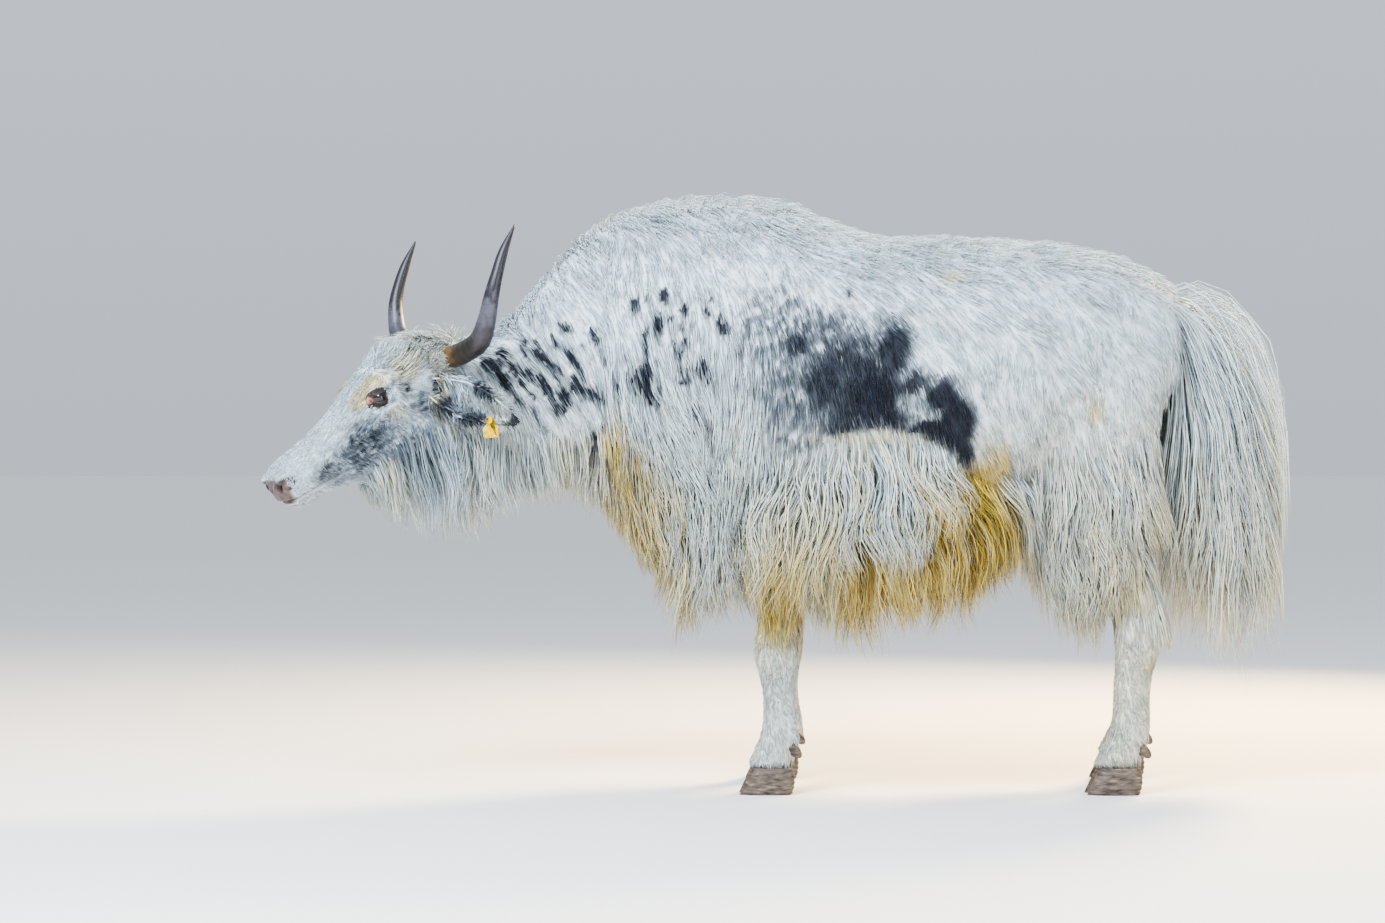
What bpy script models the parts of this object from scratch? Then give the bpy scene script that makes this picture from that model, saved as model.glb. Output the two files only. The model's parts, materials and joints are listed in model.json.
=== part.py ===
"""A domestic yak standing still, life size, in metres, +Z up.

The origin is on the floor under the middle of its length. The head points along -X and is turned
a little towards -Y, which is the animal's left side. The outer surface of every solid is the outside
of the coat, out to the tips of its locks, and the flesh lies inside it.
"""

import math
import random

import bpy
import bmesh
from mathutils import Matrix, Vector
from mathutils.bvhtree import BVHTree

GAP = 0.0003  # the clearance between two solids that touch
ROOT_SINK = 0.022  # how deep the root of a lock is set into what it grows from
HANG_LIFTS = (0.011, 0.024)  # how far one lock of a row stands off the body, and the next
SEED = 11

# Trunk, from the front of the chest to the root of the tail. Each row is x, top, bottom, half width,
# height of the widest place, and the peak of the back: 1 is round, more is sharper.
TRUNK = (
    (-0.47, 1.262, 0.72, 0.150, 0.97, 1.30),
    (-0.40, 1.312, 0.66, 0.190, 0.93, 1.30),
    (-0.30, 1.348, 0.61, 0.232, 0.90, 1.28),
    (-0.16, 1.366, 0.585, 0.262, 0.88, 1.25),
    (0.00, 1.352, 0.575, 0.298, 0.86, 1.12),
    (0.11, 1.306, 0.57, 0.328, 0.85, 1.00),
    (0.22, 1.272, 0.57, 0.348, 0.84, 0.92),
    (0.38, 1.270, 0.58, 0.346, 0.85, 0.88),
    (0.54, 1.262, 0.61, 0.314, 0.88, 0.86),
    (0.68, 1.246, 0.68, 0.262, 0.91, 0.88),
    (0.80, 1.216, 0.77, 0.215, 0.95, 0.92),
    (0.91, 1.155, 0.88, 0.145, 1.00, 1.00),
)
TRUNK_RINGS = 17
TRUNK_SIDES = 20

# Neck: x, y of its middle, top, bottom, half width, height of the widest place.
NECK = (
    (-0.34, 0.000, 1.325, 0.66, 0.205, 0.93),
    (-0.44, 0.000, 1.282, 0.70, 0.178, 0.93),
    (-0.54, -0.006, 1.178, 0.725, 0.150, 0.92),
    (-0.63, -0.020, 1.072, 0.745, 0.128, 0.91),
    (-0.72, -0.042, 1.030, 0.755, 0.106, 0.90),
    (-0.80, -0.064, 1.005, 0.775, 0.096, 0.89),
)
NECK_TURN = 20.0  # degrees that the neck turns to its left along its length
NECK_RINGS = 8
NECK_SIDES = 16

# Where the nodes part: the shoulder, the nape, the thigh and the tail.
SHOULDER_CUT = -0.405
NAPE_CUT = (-0.742, -0.05)
NAPE_TURN = 16.0
TAIL_CUT = 0.862
THIGH_INNER = 0.045
# In the side view the thigh lies behind the flank, under a line from there up to the root of the tail.
FLANK_CUT = 0.518
FLANK_LOW = 0.60
THIGH_TOP = 1.04
HOCK_TOP = 0.50  # below this height the hock may reach further back than the cut of the tail

# Head: its own frame has the poll as origin, f along the face to the nose, s to its left and u up.
POLL = Vector((-0.807, -0.060, 1.026))
HEAD_YAW = 28.0
HEAD_PITCH = 37.5
# f, top, bottom, half width, height of the widest place, squareness of the sides (less is squarer).
SKULL = (
    (-0.050, -0.030, -0.130, 0.070, -0.080, 1.00),
    (-0.010, 0.006, -0.178, 0.090, -0.070, 0.90),
    (0.050, 0.022, -0.208, 0.100, -0.060, 0.80),
    (0.120, 0.038, -0.222, 0.108, -0.050, 0.76),
    (0.180, 0.036, -0.220, 0.106, -0.040, 0.74),
    (0.240, 0.020, -0.204, 0.092, -0.050, 0.78),
    (0.300, 0.006, -0.178, 0.074, -0.065, 0.84),
    (0.360, -0.001, -0.148, 0.062, -0.060, 0.86),
    (0.410, -0.003, -0.128, 0.062, -0.055, 0.86),
    (0.450, -0.004, -0.118, 0.068, -0.052, 0.84),
    (0.482, -0.012, -0.112, 0.066, -0.054, 0.84),
    (0.502, -0.028, -0.100, 0.050, -0.058, 0.90),
)
SKULL_RINGS = 18
SKULL_SIDES = 16
EYE_AT = (0.204, 0.086, -0.017)
EYE_RADIUS = 0.0205
LID_THICK = 0.0055
BROW_AT = (0.180, 0.084, 0.010)
NOSTRIL_AT = (0.487, 0.040, -0.040)
MOUTH_CORNER = 0.345  # f of the corner of the mouth
MOUTH_HEIGHT = (-0.108, -0.086)  # u at the corner and at the front

# Horn: points of its middle line as f, s, u, and the radius there.
HORN = (
    (0.030, 0.060, -0.040, 0.0260),
    (0.015, 0.105, -0.046, 0.0255),
    (0.000, 0.150, -0.046, 0.0250),
    (-0.022, 0.212, -0.034, 0.0245),
    (-0.046, 0.255, 0.000, 0.0210),
    (-0.083, 0.276, 0.043, 0.0172),
    (-0.118, 0.282, 0.073, 0.0140),
    (-0.164, 0.281, 0.105, 0.0108),
    (-0.222, 0.281, 0.136, 0.0018),
)
HORN_RINGS = 13
HORN_SIDES = 8

EAR_ROOT = (0.078, 0.100, -0.092)
EAR_TIP = (0.047, 0.265, -0.214)
EAR_WIDTH = 0.078
EAR_THICK = 0.026
EAR_WALL = 0.0055
TAG_SIZE = (0.034, 0.040, 0.0025)  # width, height and thickness
TAG_SHARE = 0.78  # how far along the ear the stud is
TAG_BACK = 0.0035  # how far the tag stands back, because the ear bends back there
TAG_TURN = 40.0  # the plate's twist, in degrees
TAG_HANG = 32.0  # the plate's turn round its stud, so that it hangs plumb

# Legs: z, step of the middle from the leg's own x, half length and half width.
FORE_LEG = (
    (0.060, -0.022, 0.058, 0.052),
    (0.085, -0.013, 0.050, 0.047),
    (0.118, 0.002, 0.050, 0.046),
    (0.150, 0.003, 0.044, 0.040),
    (0.215, 0.000, 0.039, 0.036),
    (0.268, -0.002, 0.046, 0.042),
    (0.312, -0.004, 0.056, 0.050),
    (0.355, -0.001, 0.051, 0.047),
    (0.425, 0.003, 0.052, 0.050),
    (0.520, 0.010, 0.072, 0.062),
    (0.620, 0.022, 0.098, 0.078),
    (0.720, 0.030, 0.105, 0.080),
)
HIND_LEG = (
    (0.060, -0.034, 0.060, 0.051),
    (0.085, -0.024, 0.053, 0.047),
    (0.120, -0.006, 0.053, 0.046),
    (0.155, 0.000, 0.046, 0.039),
    (0.225, 0.003, 0.045, 0.036),
    (0.290, 0.010, 0.050, 0.040),
    (0.345, 0.020, 0.059, 0.046),
    (0.395, 0.022, 0.062, 0.048),
    (0.455, -0.008, 0.076, 0.058),
    (0.540, -0.052, 0.108, 0.076),
    (0.630, -0.088, 0.146, 0.096),
    (0.740, -0.104, 0.176, 0.112),
    (0.860, -0.094, 0.186, 0.118),
    (0.970, -0.070, 0.170, 0.104),
    (1.060, -0.050, 0.120, 0.070),
)
LEG_SIDES = 12
FORE_RINGS = 13
HIND_RINGS = 17
LEG_AT = {  # x of the cannon, y of the foot and y of the top
    "fore_left": (-0.006, -0.165, -0.165),
    "fore_right": (0.014, 0.165, 0.165),
    "hind_left": (0.783, -0.172, -0.140),
    "hind_right": (0.838, 0.172, 0.140),
}
HIND_TOP_X = 0.783  # both thighs stand here, whatever the foot does
CORONET = 0.060
CLAW_LENGTH = 0.118
CLAW_WIDTH = 0.047
CLEFT = 0.006
# Claw: height, share of the length, how far the toe stands back, share of the width.
CLAW = (
    (0.0, 1.0, 0.0, 1.0),
    (0.022, 0.96, 0.010, 1.0),
    (0.045, 0.86, 0.022, 0.96),
)

# Tail: x, z, half depth and half width of its dense upper part.
TAIL = (
    (0.820, 1.080, 0.070, 0.055),
    (0.890, 1.065, 0.085, 0.068),
    (0.950, 1.005, 0.095, 0.080),
    (0.990, 0.920, 0.105, 0.088),
    (1.010, 0.820, 0.105, 0.086),
    (1.020, 0.730, 0.085, 0.066),
    (1.025, 0.660, 0.040, 0.034),
)
TAIL_RINGS = 9
TAIL_SIDES = 10
TAIL_BACK = 1.165  # no tip of the tail reaches further back

# Hem of the long hair in the side view, as x and z.
HEM = (
    (-0.93, 0.640),
    (-0.83, 0.592),
    (-0.72, 0.618),
    (-0.60, 0.660),
    (-0.50, 0.690),
    (-0.40, 0.640),
    (-0.31, 0.520),
    (-0.23, 0.405),
    (-0.10, 0.430),
    (0.05, 0.410),
    (0.18, 0.363),
    (0.30, 0.385),
    (0.40, 0.405),
    (0.50, 0.480),
)
TAIL_HEM = ((0.90, 0.42), (0.945, 0.345), (0.99, 0.288), (1.06, 0.345), (1.12, 0.385), (1.17, 0.44))

COATS = {
    "cream coat": ((0.78, 0.72, 0.62), 0.9),
    "grey horn": ((0.20, 0.17, 0.15), 0.45),
    "dark hoof": ((0.10, 0.09, 0.08), 0.55),
    "dark eye": ((0.02, 0.015, 0.012), 0.08),
    "yellow tag": ((0.85, 0.60, 0.05), 0.5),
}

made = {}


def spline(knots, values, at):
    """The value at a place on a smooth curve through the values at the knots."""
    last = len(knots) - 1
    at = min(max(at, min(knots[0], knots[-1])), max(knots[0], knots[-1]))
    k = 0
    while k < last - 1 and (at - knots[k + 1]) * (knots[-1] - knots[0]) > 0:
        k += 1
    span = knots[k + 1] - knots[k]
    t = (at - knots[k]) / span

    def slope(j):
        before, after = max(j - 1, 0), min(j + 1, last)
        return (values[after] - values[before]) / (knots[after] - knots[before]) * span

    a, b = values[k], values[k + 1]
    return (
        (2 * t**3 - 3 * t**2 + 1) * a
        + (t**3 - 2 * t**2 + t) * slope(k)
        + (3 * t**2 - 2 * t**3) * b
        + (t**3 - t**2) * slope(k + 1)
    )


def row_at(table, at):
    """All the columns of a table, read at a place in its first column."""
    knots = [row[0] for row in table]
    return [spline(knots, [row[c] for row in table], at) for c in range(1, len(table[0]))]


def row_along(table, share):
    """All the columns of a table, read at a share of the way down its rows."""
    knots = list(range(len(table)))
    at = share * (len(table) - 1)
    return [spline(knots, [row[c] for row in table], at) for c in range(len(table[0]))]


def linear(table, at):
    """The second column of a table of two, read straight between its rows."""
    for (a, low), (b, high) in zip(table, table[1:]):
        if a <= at <= b:
            return low + (high - low) * (at - a) / (b - a)
    return table[0][1] if at < table[0][0] else table[-1][1]


def oval(half_width, top, bottom, widest, power, sides, grow=0.0, under=0.85):
    """The points of an oval as (sideways, up), with its own reach above and below the widest place."""
    points = []
    for k in range(sides):
        turn = 2 * math.pi * k / sides
        across, rise = math.cos(turn), math.sin(turn)
        reach = (top - widest if rise > 0 else widest - bottom) + grow
        bend = power if rise > 0 else under
        side = math.copysign(abs(across) ** bend, across) * (half_width + grow)
        points.append((side, widest + reach * rise))
    return points


def mesh_object(name, bm):
    bmesh.ops.recalc_face_normals(bm, faces=bm.faces)
    bmesh.ops.triangulate(bm, faces=bm.faces)
    mesh = bpy.data.meshes.new(name)
    bm.to_mesh(mesh)
    bm.free()
    obj = bpy.data.objects.new(name, mesh)
    bpy.context.scene.collection.objects.link(obj)
    return obj


def loft(name, rings):
    """A closed solid through rings of equal count, each end closed on its own middle."""
    bm = bmesh.new()
    loops = [[bm.verts.new(p) for p in ring] for ring in rings]
    for one, two in zip(loops, loops[1:]):
        for k in range(len(one)):
            after = (k + 1) % len(one)
            bm.faces.new((one[k], one[after], two[after], two[k]))
    for loop in (loops[0], loops[-1]):
        middle = sum((v.co for v in loop), Vector()) / len(loop)
        hub = bm.verts.new(middle)
        for k in range(len(loop)):
            bm.faces.new((loop[k], loop[(k + 1) % len(loop)], hub))
    return mesh_object(name, bm)


def prism(name, outline, low, high):
    """The outline, as points of x and z, extruded along Y."""
    bm = bmesh.new()
    front = [bm.verts.new((x, low, z)) for x, z in outline]
    back = [bm.verts.new((x, high, z)) for x, z in outline]
    bm.faces.new(front)
    bm.faces.new(back)
    for k in range(len(outline)):
        after = (k + 1) % len(outline)
        bm.faces.new((front[k], front[after], back[after], back[k]))
    return mesh_object(name, bm)


def half_space(name, point, normal, reach=3.0):
    """A large block whose one face passes through the point, on the side that the normal points to."""
    bm = bmesh.new()
    turn = Vector(normal).to_track_quat("Z", "Y").to_matrix().to_4x4()
    place = Matrix.Translation(Vector(point)) @ turn @ Matrix.Translation((0, 0, reach / 2))
    bmesh.ops.create_cube(bm, size=reach, matrix=place)
    return mesh_object(name, bm)


def ball(name, place, radii, segments=14, rings=9, turn=None):
    """An ellipsoid whose poles lie along its own Z."""
    bm = bmesh.new()
    matrix = Matrix.Translation(place) @ (turn or Matrix()) @ Matrix.Diagonal((*radii, 1.0))
    bmesh.ops.create_uvsphere(bm, u_segments=segments, v_segments=rings, radius=1.0, matrix=matrix)
    return mesh_object(name, bm)


def replace_mesh(obj, mesh):
    old = obj.data
    obj.modifiers.clear()
    obj.data = mesh
    bpy.data.meshes.remove(old)


def remove(objects):
    for obj in objects:
        bpy.data.objects.remove(obj, do_unlink=True)


def apply_boolean(obj, operation, other=None, collection=None):
    step = obj.modifiers.new("join", "BOOLEAN")
    step.operation = operation
    step.solver = "MANIFOLD"  # the exact solver leaves edges open where so many locks cross
    if collection:
        step.operand_type = "COLLECTION"
        step.collection = collection
    else:
        step.object = other
    bpy.context.view_layer.update()
    graph = bpy.context.evaluated_depsgraph_get()
    mesh = bpy.data.meshes.new_from_object(obj.evaluated_get(graph))
    replace_mesh(obj, mesh)


def cut(obj, cutter, operation="DIFFERENCE"):
    apply_boolean(obj, operation, other=cutter)
    remove([cutter])


def fuse(name, pieces):
    """One closed body from many that overlap, by one union on a collection."""
    base, others = pieces[0], pieces[1:]
    base.name = name
    if others:
        group = bpy.data.collections.new(name + " pieces")
        bpy.context.scene.collection.children.link(group)
        for obj in others:
            bpy.context.scene.collection.objects.unlink(obj)
            group.objects.link(obj)
        apply_boolean(base, "UNION", collection=group)
        remove(others)
        bpy.data.collections.remove(group)
    return base


def volume_of(faces):
    """Six times the volume that these triangles enclose."""
    return sum(f.verts[0].co.dot(f.verts[1].co.cross(f.verts[2].co)) for f in faces)


def keep_largest(obj):
    """Drops every closed surface of the mesh but the one that encloses most."""
    bm = bmesh.new()
    bm.from_mesh(obj.data)
    bmesh.ops.triangulate(bm, faces=bm.faces, ngon_method="EAR_CLIP")
    left = set(bm.faces)
    shells = []
    while left:
        shell = set()
        todo = [left.pop()]
        while todo:
            face = todo.pop()
            shell.add(face)
            for edge in face.edges:
                for other in edge.link_faces:
                    if other in left:
                        left.discard(other)
                        todo.append(other)
        shells.append(shell)
    shells.sort(key=volume_of)
    spare = [face for shell in shells[:-1] for face in shell]
    bmesh.ops.delete(bm, geom=spare, context="FACES")
    loose = [v for v in bm.verts if not v.link_faces]
    bmesh.ops.delete(bm, geom=loose, context="VERTS")
    bm.to_mesh(obj.data)
    bm.free()


def surface(*objects):
    """A search tree of the outside of some solids."""
    bm = bmesh.new()
    for obj in objects:
        bm.from_mesh(obj.data)
    tree = BVHTree.FromBMesh(bm)
    bm.free()
    return tree


# A lock of hair


def lock(path, width, thick, face, shares=(0.42, 1.0, 0.86)):
    """A flat lock along its path: a four-sided band that ends in a point, its flat side to the face."""
    bm = bmesh.new()
    loops = []
    for k, share in enumerate(shares):
        along = (path[k + 1] - path[max(k - 1, 0)]).normalized()
        flat = (face - along * face.dot(along)).normalized()
        across = along.cross(flat)
        half, deep = across * width * share / 2, flat * thick * share / 2
        middle = path[k]
        loops.append([bm.verts.new(middle + d) for d in (half, deep, -half, -deep)])
    tip = bm.verts.new(path[-1])
    bm.faces.new(loops[0])
    for one, two in zip(loops, loops[1:]):
        for k in range(4):
            bm.faces.new((one[k], one[(k + 1) % 4], two[(k + 1) % 4], two[k]))
    for k in range(4):
        bm.faces.new((loops[-1][k], loops[-1][(k + 1) % 4], tip))
    return mesh_object("lock", bm)


def fall(tree, root, outward, length, along, lift, sway=0.0):
    """The path of a lock: out of the surface at its root, then along it and clear of it by the lift."""
    path = [root - outward * ROOT_SINK]
    place = root.copy()
    aside = along.cross(outward)
    for step, flare, turn in ((0.24, 0.0, 0.0), (0.38, 0.004, 1.0), (0.38, 0.014, -1.6)):
        place = place + along * length * step + aside * sway * turn
        near, normal, _, _ = tree.find_nearest(place)
        clear = (place - near).dot(normal)
        if clear < lift + flare:
            place = place + normal * (lift + flare - clear)
        path.append(place.copy())
    return path


def side_root(tree, x, z, side):
    """The point of the surface at this x and z on the left (-1) or right (1), and its normal."""
    hit, normal, _, _ = tree.ray_cast(Vector((x, side * 1.5, z)), Vector((0, -side, 0)))
    return hit, normal


def under_root(tree, x, y):
    hit, normal, _, _ = tree.ray_cast(Vector((x, y, -1.0)), Vector((0, 0, 1)))
    return hit, normal


def height(given, x):
    """A height given as one number, or as a table of x and z."""
    return given if isinstance(given, float) else linear(given, x)


def hang_row(tree, dice, side, start, end, count, root, tip, width, lean=0.0, tuck=0.06):
    """A row of locks along X, from the root height to the tip height."""
    locks = []
    for k in range(count):
        share = (k + 0.5) / count
        x = start + (end - start) * share + dice.uniform(-0.2, 0.2) * (end - start) / count
        high = height(root, x) + dice.uniform(-0.02, 0.02)
        found = side_root(tree, x, high, side)
        if found[0] is None:
            continue
        length = (high - height(tip, x)) * dice.uniform(0.92, 1.03)
        along = Vector((lean + dice.uniform(-0.07, 0.07), -side * tuck, -1.0)).normalized()
        path = fall(tree, *found, length, along, HANG_LIFTS[k % 2], dice.uniform(-0.012, 0.012))
        face = Vector((dice.uniform(-0.3, 0.3), side, 0.1)).normalized()
        locks.append(lock(path, width * dice.uniform(0.9, 1.15), 0.020, face))
    return locks


# The trunk

def trunk_solid(name="trunk", grow=0.0):
    rings = []
    for k in range(TRUNK_RINGS):
        x = TRUNK[0][0] + (TRUNK[-1][0] - TRUNK[0][0]) * k / (TRUNK_RINGS - 1)
        top, bottom, half, widest, peak = row_at(TRUNK, x)
        ring = oval(half, top, bottom, widest, peak, TRUNK_SIDES, grow)
        rings.append([Vector((x, y, z)) for y, z in ring])
    return loft(name, rings)


def trunk_locks(tree):
    """The curtain of the shoulder, the skirt of the belly and the brisket."""
    dice = random.Random(SEED)
    locks = []
    for side in (-1, 1):
        locks += hang_row(tree, dice, side, -0.37, 0.04, 4, 1.14, 0.84, width=0.112, lean=0.02)
        locks += hang_row(tree, dice, side, -0.38, 0.04, 4, 0.94, 0.62, width=0.112, lean=0.02)
        locks += hang_row(tree, dice, side, -0.37, 0.04, 5, 0.76, HEM, width=0.102, lean=0.02)
        locks += hang_row(tree, dice, side, 0.04, 0.50, 4, 0.82, 0.54, width=0.125)
        locks += hang_row(tree, dice, side, 0.04, 0.53, 6, 0.68, HEM, width=0.108, tuck=0.02)
    for k in range(5):
        x = -0.36 + 0.038 * k
        y = (-1) ** k * dice.uniform(0.03, 0.07)
        root, outward = under_root(tree, x, y)
        length = root.z - linear(HEM, x + 0.02) * dice.uniform(1.0, 1.08)
        along = Vector((0.10, y * 0.3, -1.0)).normalized()
        path = fall(tree, root, outward, length, along, 0.012)
        locks.append(lock(path, 0.095, 0.024, Vector((-1.0, y * 4, 0.0)).normalized()))
    return locks


# The neck

def neck_solid(name="neck"):
    rings = []
    for k in range(NECK_RINGS):
        share = k / (NECK_RINGS - 1)
        x = NECK[0][0] + (NECK[-1][0] - NECK[0][0]) * share
        middle, top, bottom, half, widest = row_at(NECK, x)
        turn = math.radians(NECK_TURN) * share
        across = Vector((-math.sin(turn), math.cos(turn), 0))
        ring = oval(half, top, bottom, widest, 1.15, NECK_SIDES)
        rings.append([Vector((x, middle, z)) + across * s for s, z in ring])
    return loft(name, rings)


def neck_locks(tree):
    dice = random.Random(SEED + 1)
    locks = []
    for side in (-1, 1):
        locks += hang_row(tree, dice, side, -0.60, -0.42, 2, 0.92, 0.70, width=0.100, lean=0.08)
        locks += hang_row(tree, dice, side, -0.72, -0.42, 4, 0.81, HEM, width=0.090, lean=0.04)
    for k in range(4):
        x = -0.70 + 0.085 * k
        root, outward = under_root(tree, x, -0.03 + 0.02 * (-1) ** k)
        length = root.z - linear(HEM, x) * dice.uniform(0.99, 1.04)
        path = fall(tree, root, outward, length, Vector((0.05, 0, -1)).normalized(), 0.010)
        locks.append(lock(path, 0.085, 0.022, Vector((-0.3, 1, 0))))
    for k in range(3):
        x = -0.52 + 0.05 * k
        top = row_at(NECK, x)[1]
        root = Vector((x, 0.0, top - 0.004))
        path = [root - Vector((0, 0, ROOT_SINK))]
        path += [root + Vector((0.028 * j, (-1) ** k * 0.012 * j, 0.016 + 0.006 * j)) for j in (1, 2, 3)]
        locks.append(lock(path, 0.060, 0.020, Vector((-0.4, 0, 1))))
    return locks


# The head

def head_axes():
    yaw, pitch = math.radians(HEAD_YAW), math.radians(HEAD_PITCH)
    forward = Vector((-math.cos(yaw) * math.cos(pitch), -math.sin(yaw) * math.cos(pitch), -math.sin(pitch)))
    left = Vector((math.sin(yaw), -math.cos(yaw), 0.0))
    return forward, left, forward.cross(left)


def on_head(f, s, u):
    """A point of the head's own frame, in the world."""
    forward, left, up = head_axes()
    return POLL + forward * f + left * s + up * u


def head_turn():
    """The head's own frame as a rotation: X forward, Y left, Z up."""
    forward, left, up = head_axes()
    return Matrix((forward, left, up)).transposed().to_4x4()


def skull_ring(f, grow=0.0):
    top, bottom, half, widest, square = row_at(SKULL, f)
    return oval(half, top, bottom, widest, square, SKULL_SIDES, grow, under=0.95)


def skull_half_width(f, u):
    """How far the side of the head stands out at this place."""
    top, bottom, half, widest, square = row_at(SKULL, f)
    reach, power = (top - widest, square) if u > widest else (bottom - widest, 0.95)
    rise = min(abs((u - widest) / reach), 1.0)
    return half * math.sqrt(1 - rise * rise) ** power


def skull_solid():
    rings = []
    first, last = SKULL[0][0], SKULL[-1][0]
    for k in range(SKULL_RINGS):
        f = first + (last - first) * math.sin(math.pi / 2 * k / (SKULL_RINGS - 1))
        rings.append([on_head(f, s, u) for s, u in skull_ring(f)])
    return loft("skull", rings)


def muzzle_groove():
    """The line of the mouth: a thin band that follows the lips, as deep as the groove is."""
    steps = 7
    low, high = MOUTH_HEIGHT
    nose = SKULL[-1][0]
    outer, inner = [], []
    for k in range(-steps, steps + 1):
        share = math.cos(math.pi / 2 * k / steps)
        f = MOUTH_CORNER + (nose + 0.004 - MOUTH_CORNER) * share
        u = low + (high - low) * share
        side = math.copysign(skull_half_width(min(f, nose), u), k) if k else 0.0
        outer.append((f + 0.004 * share, side * 1.10, u))
        inner.append((f - 0.010 * share, side * 0.86, u))
    rings = []
    for out, into in zip(outer, inner):
        lift = 0.0022
        corners = ((*out[:2], out[2] - lift), (*out[:2], out[2] + lift), (*into[:2], into[2] + 0.0004))
        rings.append([on_head(*c) for c in corners])
    return loft("groove", rings)


def lid(side, upper):
    """A thick arc over or under the eye, from one corner to the other."""
    steps = 6
    f0, s0, u0 = EYE_AT
    rings = []
    for k in range(steps + 1):
        turn = math.pi * k / steps
        reach = EYE_RADIUS * (1.10 if upper else 1.04)
        f = f0 - math.cos(turn) * reach
        u = u0 + math.sin(turn) * reach * (0.62 if upper else -0.50)
        bulge = EYE_RADIUS * 0.62 * math.sin(turn) + 0.004
        size = LID_THICK * (0.55 + 0.45 * math.sin(turn))
        middle = (f, s0 + bulge, u)
        ring = []
        for j in range(4):
            a = math.pi / 2 * j
            ring.append(on_head(f, side * (middle[1] + size * math.cos(a)), u + size * math.sin(a)))
        rings.append(ring)
    return loft("lid", rings)


def head_locks(tree):
    """The tuft of the poll, the hair of the cheeks and jaw, and the chin."""
    dice = random.Random(SEED + 2)
    forward, left, up = head_axes()
    locks = []
    for k in range(7):
        s = -0.063 + 0.021 * k
        f = -0.030 + 0.024 * (k % 3)
        hit, normal, _, _ = tree.ray_cast(on_head(f, s, 0.3), -up)
        along = (forward + left * s * 5 + up * 0.25).normalized()
        path = fall(tree, hit, normal, 0.105 * dice.uniform(0.85, 1.1), along, 0.012 + 0.008 * (k % 2))
        locks.append(lock(path, 0.050, 0.024, up))
    for side in (-1, 1):
        for k in range(4):
            f = 0.085 + 0.058 * k
            u = -0.165 + 0.017 * k
            hit, normal, _, _ = tree.ray_cast(on_head(f, side * 0.3, u), -left * side)
            if hit is None:
                continue
            drop = hit.z - max(linear(HEM, hit.x + 0.02), 0.60) * dice.uniform(1.0, 1.04)
            along = Vector((0.16, 0.02 * side, -1.0)).normalized()
            path = fall(tree, hit, normal, max(drop, 0.05), along, 0.008 + 0.008 * (k % 2))
            locks.append(lock(path, 0.070, 0.018, (normal + Vector((0, 0, 0.1))).normalized()))
        for k in range(2):
            f = 0.035 + 0.050 * k
            hit, normal, _, _ = tree.ray_cast(on_head(f, side * 0.3, -0.125), -left * side)
            along = Vector((0.25, 0.0, -1.0)).normalized()
            path = fall(tree, hit, normal, 0.10, along, 0.010 + 0.008 * (k % 2))
            locks.append(lock(path, 0.062, 0.018, normal))
    for k in range(2):
        hit, normal, _, _ = tree.ray_cast(on_head(0.385 - 0.065 * k, 0.012 * (2 * k - 1), -0.4), up)
        path = fall(tree, hit, normal, 0.05 + 0.012 * k, Vector((0.30, 0, -1)).normalized(), 0.004)
        locks.append(lock(path, 0.036, 0.018, forward))
    return locks


def eye_ball(side, grow=0.0):
    f, s, u = EYE_AT
    radius = EYE_RADIUS + grow
    return ball("eye", on_head(f, side * s, u), (radius,) * 3, 10, 6, head_turn())


def horn_solid(side, grow=0.0):
    rings = []
    for k in range(HORN_RINGS):
        share = k / (HORN_RINGS - 1)
        f, s, u, radius = row_along(HORN, share)
        ahead = row_along(HORN, min(share + 0.02, 1.0))
        behind = row_along(HORN, max(share - 0.02, 0.0))
        along = on_head(ahead[0], side * ahead[1], ahead[2])
        along -= on_head(behind[0], side * behind[1], behind[2])
        along.normalize()
        one = along.orthogonal().normalized() if k == 0 else (one - along * one.dot(along)).normalized()
        two = along.cross(one)
        middle = on_head(f, side * s, u)
        if k == 0:
            middle -= along * grow
        ring = []
        for j in range(HORN_SIDES):
            a = 2 * math.pi * j / HORN_SIDES
            ring.append(middle + (one * math.cos(a) + two * math.sin(a)) * (max(radius, 0.0025) + grow))
        rings.append(ring)
    return loft("horn", rings)


# The ears and the tag

def ear_axes(side):
    root = on_head(EAR_ROOT[0], side * EAR_ROOT[1], EAR_ROOT[2])
    tip = on_head(EAR_TIP[0], side * EAR_TIP[1], EAR_TIP[2])
    length = (tip - root).length
    along = (tip - root).normalized()
    forward, left, up = head_axes()
    front = (forward * 0.45 + left * side * 0.62 + up * 0.35)  # the cup looks forward, out and up
    front = (front - along * front.dot(along)).normalized()
    across = along.cross(front) * side
    return root, along, across, front, length


def ear_solid(side, shrink=0.0, lift=0.0, reach=1.0):
    """A leaf with a rounded back. The cup is the same leaf, thinner and moved towards the front."""
    root, along, across, front, length = ear_axes(side)
    rings = []
    count = 8
    for k in range(count):
        share = k / (count - 1)
        t = -0.10 + 1.10 * share + min(shrink, 0.0) / length
        swell = math.sin(math.pi * min(max(0.18 + 0.82 * share, 0.0), 1.0)) ** 0.75
        half = max(EAR_WIDTH / 2 * swell - shrink, 0.003)
        deep = max(EAR_THICK / 2 * (0.35 + 0.65 * swell) - shrink * 0.4, 0.0022)
        bend = -front * 0.020 * share**2 - across * 0.010 * share
        middle = root + along * (length * t * reach) + bend + front * lift
        ring = []
        for j in range(10):
            a = 2 * math.pi * j / 10
            curl = front * (0.34 * half * math.cos(a) ** 2)
            ring.append(middle + across * half * math.cos(a) + front * deep * math.sin(a) + curl)
        rings.append(ring)
    return loft("ear", rings)


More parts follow.
